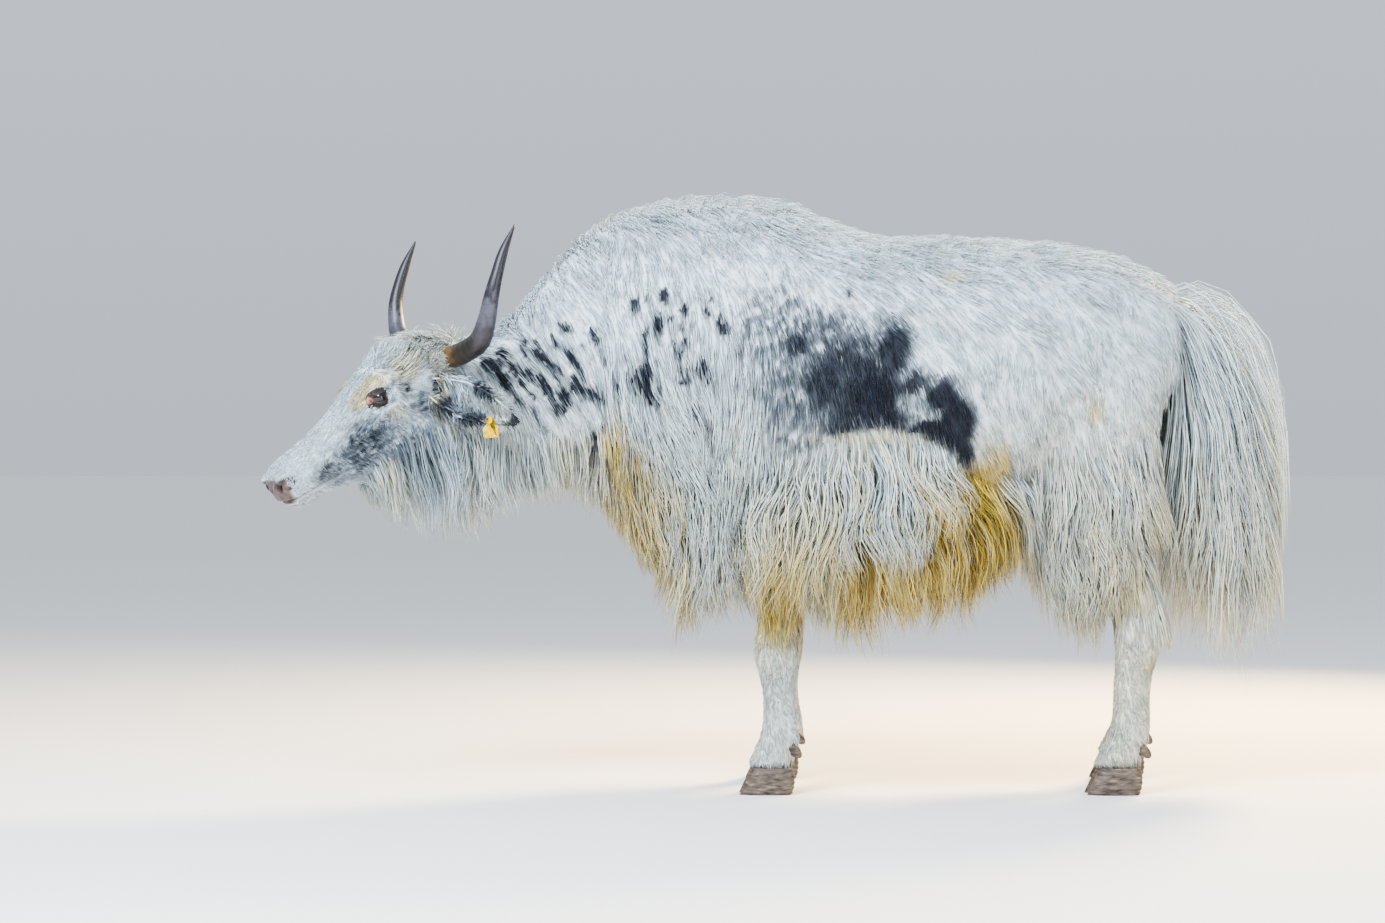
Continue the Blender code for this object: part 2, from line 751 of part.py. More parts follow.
def ear_locks(side):
    dice = random.Random(SEED + 5 + side)
    root, along, across, front, length = ear_axes(side)
    locks = []
    for k in range(3):
        share = 0.36 + 0.25 * k
        half = EAR_WIDTH / 2 * math.sin(math.pi * (0.18 + 0.82 * (share + 0.1) / 1.1)) ** 0.75
        edge = across * -half * (1 if (across.z > 0) else -1)
        start = root + along * length * share + edge * 0.80 + front * (0.26 * half - 0.020 * share**2)
        drop = Vector((0.2 * dice.uniform(0.5, 1.2), 0, -1.0)).normalized()
        out = (edge.normalized() * 0.4 + drop + along * 0.5).normalized()
        step = 0.020 * dice.uniform(0.9, 1.2)
        tip = start + (out + drop).normalized() * step * 3
        path = [start, start + out * step, start + out * step * 2, tip]
        locks.append(lock(path, 0.036, 0.010, front, shares=(0.8, 1.0, 0.7)))
    return locks


def tag_solid(grow=0.0):
    """A blank ear tag: a stud that goes through the ear, a button behind it and a plate in front."""
    root, along, across, front, length = ear_axes(1)
    down = across if across.z < 0 else -across
    centre = root + along * length * TAG_SHARE + down * EAR_WIDTH * 0.14 - front * TAG_BACK
    wide, high, thick = TAG_SIZE
    half = EAR_THICK / 2 + 0.012
    face = Matrix((along, -down, front)).transposed().to_4x4()
    pieces = []
    bm = bmesh.new()
    bmesh.ops.create_cone(
        bm, cap_ends=True, segments=6, radius1=0.0035 + grow, radius2=0.0035 + grow, depth=2 * half,
        matrix=Matrix.Translation(centre) @ face,
    )
    pieces.append(mesh_object("stud", bm))
    if grow:
        return pieces[0]
    for z, radius in ((half - thick / 2, 0.009), (-half + thick / 2, 0.010)):
        bm = bmesh.new()
        place = Matrix.Translation(centre) @ face @ Matrix.Translation((0, 0, z))
        bmesh.ops.create_cone(
            bm, cap_ends=True, segments=8, radius1=radius, radius2=radius, depth=thick, matrix=place
        )
        pieces.append(mesh_object("button", bm))
    bm = bmesh.new()
    outline = (
        (-0.20, 0.10), (0.20, 0.10), (0.50, -0.45), (0.50, -0.92),
        (0.38, -1.00), (-0.38, -1.00), (-0.50, -0.92), (-0.50, -0.45),
    )
    ring = [bm.verts.new((x * wide, y * high, -thick / 2)) for x, y in outline]
    top = [bm.verts.new((x * wide, y * high, thick / 2)) for x, y in outline]
    bm.faces.new(ring)
    bm.faces.new(top)
    for k in range(len(outline)):
        after = (k + 1) % len(outline)
        bm.faces.new((ring[k], ring[after], top[after], top[k]))
    place = Matrix.Translation(centre) @ face @ Matrix.Translation((0, 0, half - thick / 2 - 0.0004))
    place = place @ Matrix.Rotation(math.radians(TAG_HANG), 4, "Z")
    place = place @ Matrix.Rotation(math.radians(TAG_TURN), 4, "Y")
    bmesh.ops.transform(bm, matrix=place, verts=bm.verts)
    pieces.append(mesh_object("plate", bm))
    return fuse("tag", pieces)


# The legs

def leg_place(name, z):
    """The middle line of a leg at this height."""
    x, foot, top = LEG_AT[name]
    share = min(max((z - 0.30) / 0.45, 0.0), 1.0)
    share = share * share * (3 - 2 * share)
    if name.startswith("hind"):
        x = x + (HIND_TOP_X - x) * share
    return x, foot + (top - foot) * share


def leg_solid(name, table, count, grow=0.0, low=None):
    rings = []
    first, last = table[0][0], table[-1][0] + grow
    start = first if low is None else low
    for k in range(count):
        z = start + (last - start) * (k / (count - 1)) ** 1.15
        step, long, wide = row_at(table, min(z, table[-1][0]))
        x, y = leg_place(name, z)
        ring = []
        for j in range(LEG_SIDES):
            a = 2 * math.pi * j / LEG_SIDES
            along, across = (long + grow) * math.cos(a), (wide + grow) * math.sin(a)
            ring.append(Vector((x + step + along, y + across, z)))
        rings.append(ring)
    return loft(name, rings)


def dewclaws(name, table):
    """The two small claws behind the fetlock."""
    x, y = leg_place(name, 0.1)
    step, long, wide = row_at(table, 0.100)
    claws = []
    for side in (-1, 1):
        place = Vector((x + step + long * 0.86, y + side * wide * 0.48, 0.098))
        claws.append(ball("dewclaw", place, (0.020, 0.012, 0.017), 6, 5))
    return claws


def leg_locks(name, tree, rows):
    """Locks round a leg. Each row is height, tip, width, count, the arc it covers in degrees and the lean."""
    dice = random.Random(SEED + 20 + len(name) + ord(name[-4]))
    locks = []
    for high, tip, width, count, start, end, lean in rows:
        for k in range(count):
            turn = math.radians(start + (end - start) * (k + 0.5) / count)
            x, y = leg_place(name, high)
            side = -1 if "left" in name else 1
            way = Vector((math.cos(turn), side * math.sin(turn), 0))
            z = high + dice.uniform(-0.015, 0.015)
            hit, normal, _, _ = tree.ray_cast(Vector((x, y, z)) + way * 0.6, -way)
            if hit is None:
                continue
            along = (Vector((lean, 0, -1.0)) + way * 0.05).normalized()
            length = (z - tip) * dice.uniform(0.88, 1.0)
            path = fall(tree, hit, normal, length, along, 0.008 + 0.009 * (k % 2))
            locks.append(lock(path, width * dice.uniform(0.9, 1.1), 0.018, way))
    return locks


def claw(name, side, mate):
    """One half of a cloven hoof, its toe to the front, its sole a flat on the floor."""
    x, y = leg_place(name, 0.0)
    table = FORE_LEG if name.startswith("fore") else HIND_LEG
    step = table[0][1]
    middle = y + mate * (CLEFT + CLAW_WIDTH) / 2
    rings = []
    for z, long, front, wide in CLAW + ((CORONET - GAP, 0.76, 0.030, 0.86),):
        length = CLAW_LENGTH * long
        toe = x + step - CLAW_LENGTH * 0.56 + front
        ring = []
        for j in range(10):
            a = 2 * math.pi * j / 10
            along, across = math.cos(a), math.sin(a)
            half = CLAW_WIDTH / 2 * wide
            point = 0.80 if across * mate > 0 else 0.45
            narrow = 1 - 0.28 * max(along, 0) ** 2  # towards the toe
            ring.append(Vector((
                toe + length / 2 - length / 2 * math.copysign(abs(along) ** 0.85, along),
                middle + half * math.copysign(abs(across) ** point, across) * narrow,
                z,
            )))
        rings.append(ring)
    return loft("claw", rings)


# The tail

def tail_solid():
    rings = []
    for k in range(TAIL_RINGS):
        share = k / (TAIL_RINGS - 1)
        x, z, deep, wide = row_along(TAIL, share)
        ahead, behind = row_along(TAIL, min(share + 0.05, 1)), row_along(TAIL, max(share - 0.05, 0))
        along = Vector((ahead[0] - behind[0], 0, ahead[1] - behind[1])).normalized()
        across = Vector((-along.z, 0, along.x))
        ring = []
        for j in range(TAIL_SIDES):
            a = 2 * math.pi * j / TAIL_SIDES
            ring.append(Vector((x, wide * math.sin(a), z)) + across * deep * math.cos(a))
        rings.append(ring)
    return loft("tail", rings)


def tail_locks(tree):
    dice = random.Random(SEED + 3)
    locks = []
    tiers = ((1.06, 0.78, 4, 0.13), (0.95, 0.58, 6, 0.135), (0.83, 0.42, 7, 0.125), (0.74, 0.0, 8, 0.105))
    for tier, (high, tip, count, width) in enumerate(tiers):
        for k in range(count):
            turn = 2 * math.pi * (k + 0.5 * (tier % 2)) / count
            way = Vector((math.cos(turn), math.sin(turn), 0))
            if tier == 0:
                way = Vector((0.3 + abs(way.x) * 0.7, way.y, 0.2)).normalized()
            middle = Vector((1.0 if tier else 0.95, 0, high + dice.uniform(-0.02, 0.02)))
            hit, normal, _, _ = tree.ray_cast(middle + way * 0.6, -way)
            if hit is None:
                continue
            lean = 0.06 + 0.07 * max(way.x, 0)
            end = tip or linear(TAIL_HEM, hit.x + lean * 0.4) + dice.uniform(0.0, 0.05)
            along = Vector((lean, 0.03 * way.y, -1.0)).normalized()
            lift = 0.020 - 0.004 * tier + 0.008 * (k % 2)
            path = fall(tree, hit, normal, (hit.z - end) * dice.uniform(0.96, 1.0), along, lift)
            for point in path[1:]:
                point.x = min(max(point.x, 0.880 + max(0.62 - point.z, 0) * 0.12), TAIL_BACK)
            locks.append(lock(path, width * dice.uniform(0.9, 1.1), 0.022, way))
    return locks


# The nodes

def finish_node(obj, name, coat):
    keep_largest(obj)
    obj.name = name
    obj.data.name = name
    colour, roughness = COATS[coat]
    material = bpy.data.materials.get(coat) or bpy.data.materials.new(coat)
    material.use_nodes = True
    shader = material.node_tree.nodes["Principled BSDF"]
    shader.inputs["Base Color"].default_value = (*colour, 1.0)
    shader.inputs["Roughness"].default_value = roughness
    shader.inputs["Metallic"].default_value = 0.0
    obj.data.materials.clear()
    obj.data.materials.append(material)
    made[name] = obj
    return obj


def thigh_block(side, gap):
    """The space of one thigh and of what hangs under it, kept back from the trunk and tail by the gap."""
    rise = (THIGH_TOP - FLANK_LOW) / (TAIL_CUT - FLANK_CUT)
    front = FLANK_CUT + gap
    rear = TAIL_CUT if gap else TAIL_CUT + 0.05
    drop = 2 * gap
    outline = (
        (front, -0.10),
        (front, FLANK_LOW - drop),
        (rear, FLANK_LOW + rise * (rear - FLANK_CUT) - drop),
        (rear, HOCK_TOP + 0.06),
        (1.00, HOCK_TOP),
        (1.00, -0.10),
    )
    low, high = sorted((side * (THIGH_INNER + gap), side * 1.5))
    return prism("thigh block", outline, low, high)


def build_torso():
    core = trunk_solid()
    torso = fuse("torso", [core] + trunk_locks(surface(core)))
    nape = (SHOULDER_CUT, 0, 1.0)
    cut(torso, half_space("front", nape, (-1, 0, 0)))
    cut(torso, half_space("rear", (TAIL_CUT, 0, 1.0), (1, 0, 0)))
    for side in (-1, 1):
        cut(torso, thigh_block(side, 0.0))
    for name in ("fore_left", "fore_right"):
        cut(torso, leg_solid(name, FORE_LEG, FORE_RINGS, GAP))
    finish_node(torso, "torso", "cream coat")


def build_neck():
    core = neck_solid()
    neck = fuse("neck", [core] + neck_locks(surface(core)))
    cut(neck, half_space("rear", (SHOULDER_CUT - GAP, 0, 1.0), (1, 0, 0)))
    turn = math.radians(NAPE_TURN)
    ahead = Vector((-math.cos(turn), -math.sin(turn), 0))
    place = Vector((*NAPE_CUT, 0.9))
    cut(neck, half_space("front", place - ahead * GAP, ahead))
    for side in (-1, 1):
        cut(neck, ear_solid(side, shrink=-0.002))
    finish_node(neck, "neck", "cream coat")


def build_head():
    skull = skull_solid()
    tree = surface(skull)
    pieces = [skull] + head_locks(tree)
    for side in (-1, 1):
        f, s, u = BROW_AT
        pieces.append(ball("brow", on_head(f, side * s, u), (0.050, 0.026, 0.021), 8, 5, head_turn()))
        pieces += [lid(side, True), lid(side, False)]
        f, s, u = NOSTRIL_AT
        place = on_head(f - 0.004, side * (s + 0.008), u)
        pieces.append(ball("wing", place, (0.022, 0.018, 0.022), 8, 5, head_turn()))
    head = fuse("head", pieces)
    cut(head, muzzle_groove())
    for side in (-1, 1):
        f, s, u = NOSTRIL_AT
        turn = head_turn() @ Matrix.Rotation(math.radians(side * 38), 4, "Z")
        place = on_head(f + 0.010, side * (s + 0.006), u)
        cut(head, ball("nostril", place, (0.018, 0.007, 0.011), 8, 6, turn))
        cut(head, eye_ball(side, GAP))
        cut(head, horn_solid(side, GAP))
        cut(head, ear_solid(side, shrink=-GAP))
    turn = math.radians(NAPE_TURN)
    behind = Vector((math.cos(turn), math.sin(turn), 0))
    cut(head, half_space("nape", Vector((*NAPE_CUT, 0.9)), behind))
    finish_node(head, "head", "cream coat")


def build_small_parts():
    for side, word in ((-1, "left"), (1, "right")):
        turned = -side  # the head's own left is its positive side
        finish_node(eye_ball(turned), "eye_" + word, "dark eye")
        finish_node(horn_solid(turned), "horn_" + word, "grey horn")
        ear = fuse("ear", [ear_solid(turned)] + ear_locks(turned))
        cut(ear, ear_solid(turned, shrink=EAR_WALL, lift=EAR_WALL + 0.008, reach=0.93))
        if word == "left":
            cut(ear, tag_solid(GAP))
            finish_node(tag_solid(), "ear_tag", "yellow tag")
        finish_node(ear, "ear_" + word, "cream coat")


def build_legs():
    fore_rows = (
        (0.455, 0.33, 0.060, 3, 20, 160, 0.0),
        (0.40, 0.27, 0.050, 2, -40, 60, 0.15),
    )
    hind_rows = (
        (0.86, 0.62, 0.100, 3, 20, 160, 0.05),
        (0.68, 0.44, 0.088, 4, 20, 170, 0.05),
        (0.54, 0.33, 0.084, 4, 25, 190, 0.02),
        (0.43, 0.27, 0.062, 3, -30, 200, 0.05),
    )
    for name in LEG_AT:
        fore = name.startswith("fore")
        table = FORE_LEG if fore else HIND_LEG
        shaft = leg_solid(name, table, FORE_RINGS if fore else HIND_RINGS)
        pieces = [shaft] + dewclaws(name, table)
        side = -1 if "left" in name else 1
        if fore:
            pieces += leg_locks(name, surface(shaft), fore_rows)
            leg = fuse(name, pieces)
        else:
            flesh = trunk_solid()
            pieces += leg_locks(name, surface(shaft, flesh), hind_rows)
            leg = fuse(name, pieces + [flesh])
            cut(leg, thigh_block(side, GAP), operation="INTERSECT")
        parts = name.split("_")
        finish_node(leg, f"{parts[0]}_leg_{parts[1]}", "cream coat")
        for mate, word in ((-side, "inner"), (side, "outer")):
            finish_node(claw(name, side, mate), f"hoof_{name}_{word}", "dark hoof")


def build_tail():
    core = tail_solid()
    tail = fuse("tail", [core] + tail_locks(surface(core)))
    cut(tail, half_space("rump", (TAIL_CUT + GAP, 0, 1.0), (-1, 0, 0)))
    finish_node(tail, "tail", "cream coat")


def main():
    for obj in list(bpy.data.objects):
        bpy.data.objects.remove(obj, do_unlink=True)
    build_torso()
    build_neck()
    build_head()
    build_small_parts()
    build_legs()
    build_tail()
    stand = bpy.data.objects.new("yak", None)
    bpy.context.scene.collection.objects.link(stand)
    for obj in made.values():
        obj.parent = stand
        obj.data.shade_smooth()
        obj.data.set_sharp_from_angle(angle=math.radians(40))
        print(obj.name, len(obj.data.polygons), "triangles")
    print("all", sum(len(obj.data.polygons) for obj in made.values()), "triangles")


main()
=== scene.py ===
# %% [markdown]
# # A domestic yak, dressed
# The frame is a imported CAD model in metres: the floor is z = 0, the head points along -X and is turned
# a little to -Y, which is the animal's left. This script hides the faceted flesh of the frame behind one
# smooth skin, covers the skin with tufts of hair, and gives the eyes, horns, hooves and tag their
# finish. Fur is the main task here, and it is made as a real mesh so that it can be exported.

# %% Load the frame
import json
import math

import bmesh
import bpy
import numpy as np
from mathutils import Matrix, Vector, kdtree, noise
from mathutils.bvhtree import BVHTree

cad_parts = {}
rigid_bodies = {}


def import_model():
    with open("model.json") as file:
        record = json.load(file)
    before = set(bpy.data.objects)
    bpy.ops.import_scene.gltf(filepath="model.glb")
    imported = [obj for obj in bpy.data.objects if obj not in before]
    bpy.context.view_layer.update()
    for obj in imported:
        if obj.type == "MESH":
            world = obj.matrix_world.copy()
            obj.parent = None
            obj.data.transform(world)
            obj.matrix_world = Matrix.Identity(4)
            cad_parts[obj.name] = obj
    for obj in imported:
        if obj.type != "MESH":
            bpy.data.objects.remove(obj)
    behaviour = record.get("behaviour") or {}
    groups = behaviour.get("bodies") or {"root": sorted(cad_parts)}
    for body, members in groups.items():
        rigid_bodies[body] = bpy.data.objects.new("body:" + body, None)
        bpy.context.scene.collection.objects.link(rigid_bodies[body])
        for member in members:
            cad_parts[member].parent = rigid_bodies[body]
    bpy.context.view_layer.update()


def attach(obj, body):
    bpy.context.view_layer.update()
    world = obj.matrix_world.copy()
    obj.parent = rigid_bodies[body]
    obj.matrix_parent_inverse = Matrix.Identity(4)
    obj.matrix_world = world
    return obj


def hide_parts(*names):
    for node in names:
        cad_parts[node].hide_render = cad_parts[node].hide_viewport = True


for startup in list(bpy.data.objects):
    bpy.data.objects.remove(startup)
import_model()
SEED = 7

# %% [markdown]
# ## Sizes of the animal
# Every size is a row of a table, read through a smooth curve. They are the sizes of the frame's own
# solids, which are the outside of the coat, so the skin is built from them with its own depth taken off.

# %% Tables of the body
TRUNK = (  # x, top, bottom, half width, height of the widest place, peak of the back
    (-0.47, 1.262, 0.72, 0.150, 0.97, 1.30),
    (-0.40, 1.312, 0.66, 0.190, 0.93, 1.30),
    (-0.30, 1.348, 0.61, 0.232, 0.90, 1.28),
    (-0.16, 1.366, 0.585, 0.262, 0.88, 1.25),
    (0.00, 1.352, 0.575, 0.298, 0.86, 1.12),
    (0.11, 1.306, 0.57, 0.328, 0.85, 1.00),
    (0.22, 1.272, 0.57, 0.348, 0.84, 0.92),
    (0.38, 1.270, 0.58, 0.346, 0.85, 0.88),
    (0.54, 1.262, 0.61, 0.314, 0.88, 0.86),
    (0.68, 1.246, 0.68, 0.262, 0.91, 0.88),
    (0.80, 1.216, 0.77, 0.215, 0.95, 0.92),
    (0.91, 1.155, 0.88, 0.145, 1.00, 1.00),
)
NECK = (  # x, y of its middle, top, bottom, half width, height of the widest place
    (-0.34, 0.000, 1.325, 0.66, 0.205, 0.93),
    (-0.44, 0.000, 1.282, 0.70, 0.178, 0.93),
    (-0.54, -0.006, 1.178, 0.725, 0.150, 0.92),
    (-0.63, -0.020, 1.072, 0.745, 0.128, 0.91),
    (-0.72, -0.042, 1.030, 0.755, 0.106, 0.90),
    (-0.80, -0.064, 1.005, 0.775, 0.096, 0.89),
)
NECK_TURN = 20.0
TAIL = (  # x, z, half depth, half width
    (0.820, 1.080, 0.070, 0.055),
    (0.890, 1.065, 0.085, 0.068),
    (0.950, 1.005, 0.095, 0.080),
    (0.990, 0.920, 0.105, 0.088),
    (1.010, 0.820, 0.105, 0.086),
    (1.020, 0.730, 0.085, 0.066),
    (1.025, 0.660, 0.040, 0.034),
)
HEM = (  # lower edge of the long hair in the side view
    (-1.02, 0.662), (-0.93, 0.640), (-0.83, 0.592), (-0.72, 0.618), (-0.60, 0.660), (-0.50, 0.690),
    (-0.40, 0.640), (-0.31, 0.520), (-0.23, 0.405), (-0.10, 0.430), (0.05, 0.410), (0.18, 0.363),
    (0.30, 0.385), (0.40, 0.405), (0.50, 0.480),
)
WHITE_HEM = (  # where the white outer hair of the skirt ends, over the golden hair inside
    (-0.12, 0.440), (0.02, 0.415), (0.11, 0.385), (0.16, 0.455), (0.25, 0.478), (0.32, 0.535), (0.37, 0.590),
    (0.44, 0.640),
)
THIGH_HEM = (
    (0.47, 0.600), (0.506, 0.526), (0.550, 0.437), (0.617, 0.366), (0.706, 0.326), (0.740, 0.400),
    (0.860, 0.440),
)
TAIL_HEM = ((0.90, 0.42), (0.945, 0.345), (0.99, 0.288), (1.06, 0.345), (1.12, 0.385), (1.17, 0.44))
FORE_LEG = (  # z, step of the middle, half length, half width
    (0.060, -0.022, 0.058, 0.052),
    (0.085, -0.013, 0.050, 0.047),
    (0.118, 0.002, 0.050, 0.046),
    (0.150, 0.003, 0.044, 0.040),
    (0.215, 0.000, 0.039, 0.036),
    (0.268, -0.002, 0.046, 0.042),
    (0.312, -0.004, 0.056, 0.050),
    (0.355, -0.001, 0.051, 0.047),
    (0.425, 0.003, 0.052, 0.050),
    (0.520, 0.010, 0.072, 0.062),
    (0.620, 0.022, 0.098, 0.078),
    (0.720, 0.030, 0.105, 0.080),
)
HIND_LEG = (
    (0.060, -0.034, 0.060, 0.051),
    (0.085, -0.024, 0.053, 0.047),
    (0.120, -0.006, 0.053, 0.046),
    (0.155, 0.000, 0.046, 0.039),
    (0.225, 0.003, 0.045, 0.036),
    (0.290, 0.010, 0.050, 0.040),
    (0.345, 0.020, 0.059, 0.046),
    (0.395, 0.022, 0.062, 0.048),
    (0.455, -0.008, 0.076, 0.058),
    (0.540, -0.052, 0.108, 0.076),
    (0.630, -0.088, 0.146, 0.096),
    (0.740, -0.104, 0.176, 0.112),
    (0.860, -0.094, 0.186, 0.118),
    (0.970, -0.070, 0.170, 0.104),
    (1.060, -0.050, 0.120, 0.070),
)
LEG_AT = {  # x of the cannon, y of the foot and y of the top
    "fore_left": (-0.006, -0.165, -0.165),
    "fore_right": (0.014, 0.165, 0.165),
    "hind_left": (0.783, -0.172, -0.140),
    "hind_right": (0.838, 0.172, 0.140),
}
HIND_TOP_X = 0.783
CORONET = 0.060

# %% Tables of the head
POLL = Vector((-0.807, -0.060, 1.026))
HEAD_YAW, HEAD_PITCH = math.radians(28.0), math.radians(37.5)
SKULL = (  # f, top, bottom, half width, height of the widest place, squareness
    (-0.050, -0.030, -0.130, 0.070, -0.080, 1.00),
    (-0.010, 0.006, -0.178, 0.090, -0.070, 0.90),
    (0.050, 0.022, -0.208, 0.100, -0.060, 0.80),
    (0.120, 0.038, -0.222, 0.108, -0.050, 0.76),
    (0.180, 0.036, -0.220, 0.106, -0.040, 0.74),
    (0.240, 0.020, -0.204, 0.092, -0.050, 0.78),
    (0.300, 0.006, -0.178, 0.074, -0.065, 0.84),
    (0.360, -0.001, -0.148, 0.062, -0.060, 0.86),
    (0.410, -0.003, -0.128, 0.062, -0.055, 0.86),
    (0.450, -0.004, -0.118, 0.068, -0.052, 0.84),
    (0.482, -0.012, -0.112, 0.066, -0.054, 0.84),
    (0.502, -0.028, -0.100, 0.050, -0.058, 0.90),
)
EYE_AT = (0.204, 0.086, -0.017)
EYE_RADIUS = 0.0205
NOSTRIL_AT = (0.487, 0.040, -0.040)
MOUTH_CORNER = 0.345
MOUTH_HEIGHT = (-0.108, -0.086)
HORN = (  # f, s, u and radius
    (0.030, 0.060, -0.040, 0.0260),
    (0.015, 0.105, -0.046, 0.0255),
    (0.000, 0.150, -0.046, 0.0250),
    (-0.022, 0.212, -0.034, 0.0245),
    (-0.046, 0.255, 0.000, 0.0210),
    (-0.083, 0.276, 0.043, 0.0172),
    (-0.118, 0.282, 0.073, 0.0140),
    (-0.164, 0.281, 0.105, 0.0108),
    (-0.222, 0.281, 0.136, 0.0018),
)
EAR_ROOT, EAR_TIP = (0.078, 0.100, -0.092), (0.047, 0.265, -0.214)
EAR_WIDTH, EAR_THICK = 0.078, 0.026
TAG_SHARE, TAG_BACK, TAG_TURN, TAG_HANG = 0.78, 0.0035, 40.0, 32.0
SIDES = {"left": 1, "right": -1}  # along the head's own s, which points to its left
print("rows:", len(TRUNK), "of trunk,", len(NECK), "of neck,", len(SKULL), "of skull,", len(HORN), "of horn")

# %% Curves through the tables
def spline(knots, values, at):
    """The value at a place on a smooth curve through the values at the knots."""
    last = len(knots) - 1
    at = min(max(at, knots[0]), knots[-1])
    k = 0
    while k < last - 1 and at > knots[k + 1]:
        k += 1
    span = knots[k + 1] - knots[k]
    t = (at - knots[k]) / span

    def slope(j):
        before, after = max(j - 1, 0), min(j + 1, last)
        return (values[after] - values[before]) / (knots[after] - knots[before]) * span

    ease = 3 * t**2 - 2 * t**3
    bends = (t**3 - 2 * t**2 + t) * slope(k) + (t**3 - t**2) * slope(k + 1)
    return (1 - ease) * values[k] + ease * values[k + 1] + bends


def row_at(table, at):
    """All the columns of a table, read at a place in its first column."""
    knots = [row[0] for row in table]
    return [spline(knots, [row[c] for row in table], at) for c in range(1, len(table[0]))]


def row_along(table, share):
    """All the columns of a table, read at a share of the way down its rows."""
    at = share * (len(table) - 1)
    return [spline(range(len(table)), [row[c] for row in table], at) for c in range(len(table[0]))]


HEAD_F = Vector((
    -math.cos(HEAD_YAW) * math.cos(HEAD_PITCH),
    -math.sin(HEAD_YAW) * math.cos(HEAD_PITCH),
    -math.sin(HEAD_PITCH),
))
HEAD_S = Vector((math.sin(HEAD_YAW), -math.cos(HEAD_YAW), 0.0))
HEAD_U = HEAD_F.cross(HEAD_S)
HEAD_TURN = Matrix((HEAD_F, HEAD_S, HEAD_U)).transposed().to_4x4()


def on_head(f, s, u):
    """A point of the head's own frame, in the world."""
    return POLL + HEAD_F * f + HEAD_S * s + HEAD_U * u


print("nose at", [round(v, 3) for v in on_head(0.502, 0, -0.06)])

# %% [markdown]
# ## The skin
# A shaved yak would show one unbroken skin, so the parts of the body are made as closed sleeves of rings,
# set into one another, and a voxel remesh melts them into one surface. The alternative, modelling the
# whole animal as one cage, gives cleaner loops but takes far longer. Hair hides the body, so the body
# takes large voxels, and the head, where the skin shows, takes small ones.

# %% Rings and sleeves
def turns(count):
    """Angles that share out a full turn."""
    return [2 * math.pi * k / count for k in range(count)]


def placed(name, data):
    """A new object in the scene."""
    obj = bpy.data.objects.new(name, data)
    bpy.context.scene.collection.objects.link(obj)
    return obj


def applied(obj):
    """The object with its modifiers worked into its mesh."""
    mesh = bpy.data.meshes.new_from_object(obj.evaluated_get(bpy.context.evaluated_depsgraph_get()))
    obj.modifiers.clear()
    obj.data = mesh
    return obj


def oval(half_width, top, bottom, widest, power, sides, depth, under=0.85):
    """The points of an oval as (sideways, up), a depth inside the outline of the coat."""
    points = []
    for turn in turns(sides):
        across, rise = math.cos(turn), math.sin(turn)
        reach = (top - widest if rise > 0 else widest - bottom) - depth
        bend = power if rise > 0 else under
        side = math.copysign(abs(across) ** bend, across) * (half_width - depth)
        points.append((side, widest + reach * rise))
    return points


def ring(bm, points):
    """A circle of as many points as are given, moved onto them."""
    verts = bmesh.ops.create_circle(bm, segments=len(points), radius=1.0)["verts"]
    for vert, point in zip(verts, points):
        vert.co = point
    return verts


def edges_of(*loops):
    """The edges that run round each loop."""
    found = set()
    for loop in loops:
        inside = set(loop)
        found |= {e for v in loop for e in v.link_edges if e.other_vert(v) in inside}
    return list(found)


def sleeve(bm, rings):
    """A tube through rings of points, bridged one to the next and closed at both ends."""
    loops = [ring(bm, points) for points in rings]
    for one, two in zip(loops, loops[1:]):
        bmesh.ops.bridge_loops(bm, edges=edges_of(one, two))
    for loop in (loops[0], loops[-1]):
        bmesh.ops.contextual_create(bm, geom=edges_of(loop))
    return loops


def ball(bm, place, radii, turn=None, u=20, v=12):
    """An ellipsoid, for a swelling that melts into the sleeve."""
    matrix = Matrix.Translation(place) @ (turn or Matrix()) @ Matrix.Diagonal((*radii, 1.0))
    return bmesh.ops.create_uvsphere(bm, u_segments=u, v_segments=v, radius=1.0, matrix=matrix)["verts"]


def finish_piece(name, bm, material=None):
    """A bmesh as a smooth-shaded object in the scene, with a material if one is given."""
    bmesh.ops.recalc_face_normals(bm, faces=bm.faces)
    mesh = bpy.data.meshes.new(name)
    bm.to_mesh(mesh)
    bm.free()
    mesh.shade_smooth()
    if material:
        mesh.materials.append(material)
    return placed(name, mesh)


print("an oval has its widest points at", oval(0.1, 1.0, 0.6, 0.8, 1.0, 4, 0.0)[0])

# %% The sleeves of the trunk, neck, legs and tail
SKIN_DEPTH = {"trunk": 0.024, "neck": 0.022, "leg": 0.005, "thigh": 0.020, "face": 0.003, "poll": 0.012}


def trunk_rings():
    rings = []
    for k in range(26):
        x = -0.46 + 1.36 * k / 25
        top, bottom, half, widest, peak = row_at(TRUNK, x)
        points = oval(half, top, bottom, widest, peak, 32, SKIN_DEPTH["trunk"])
        rings.append([Vector((x, y, z)) for y, z in points])
    return rings


def neck_rings():
    rings = []
    for k in range(12):
        share = k / 11
        x = -0.34 - 0.46 * share
        middle, top, bottom, half, widest = row_at([(-row[0], *row[1:]) for row in NECK], -x)
        turn = math.radians(NECK_TURN) * share
        across = Vector((-math.sin(turn), math.cos(turn), 0))
        points = oval(half, top, bottom, widest, 1.15, 26, SKIN_DEPTH["neck"])
        rings.append([Vector((x, middle, z)) + across * s for s, z in points])
    return rings


def leg_place(name, z):
    """The middle line of a leg at this height."""
    x, foot, top = LEG_AT[name]
    share = min(max((z - 0.30) / 0.45, 0.0), 1.0)
    share = share * share * (3 - 2 * share)
    if name.startswith("hind"):
        x = x + (HIND_TOP_X - x) * share
    return x, foot + (top - foot) * share


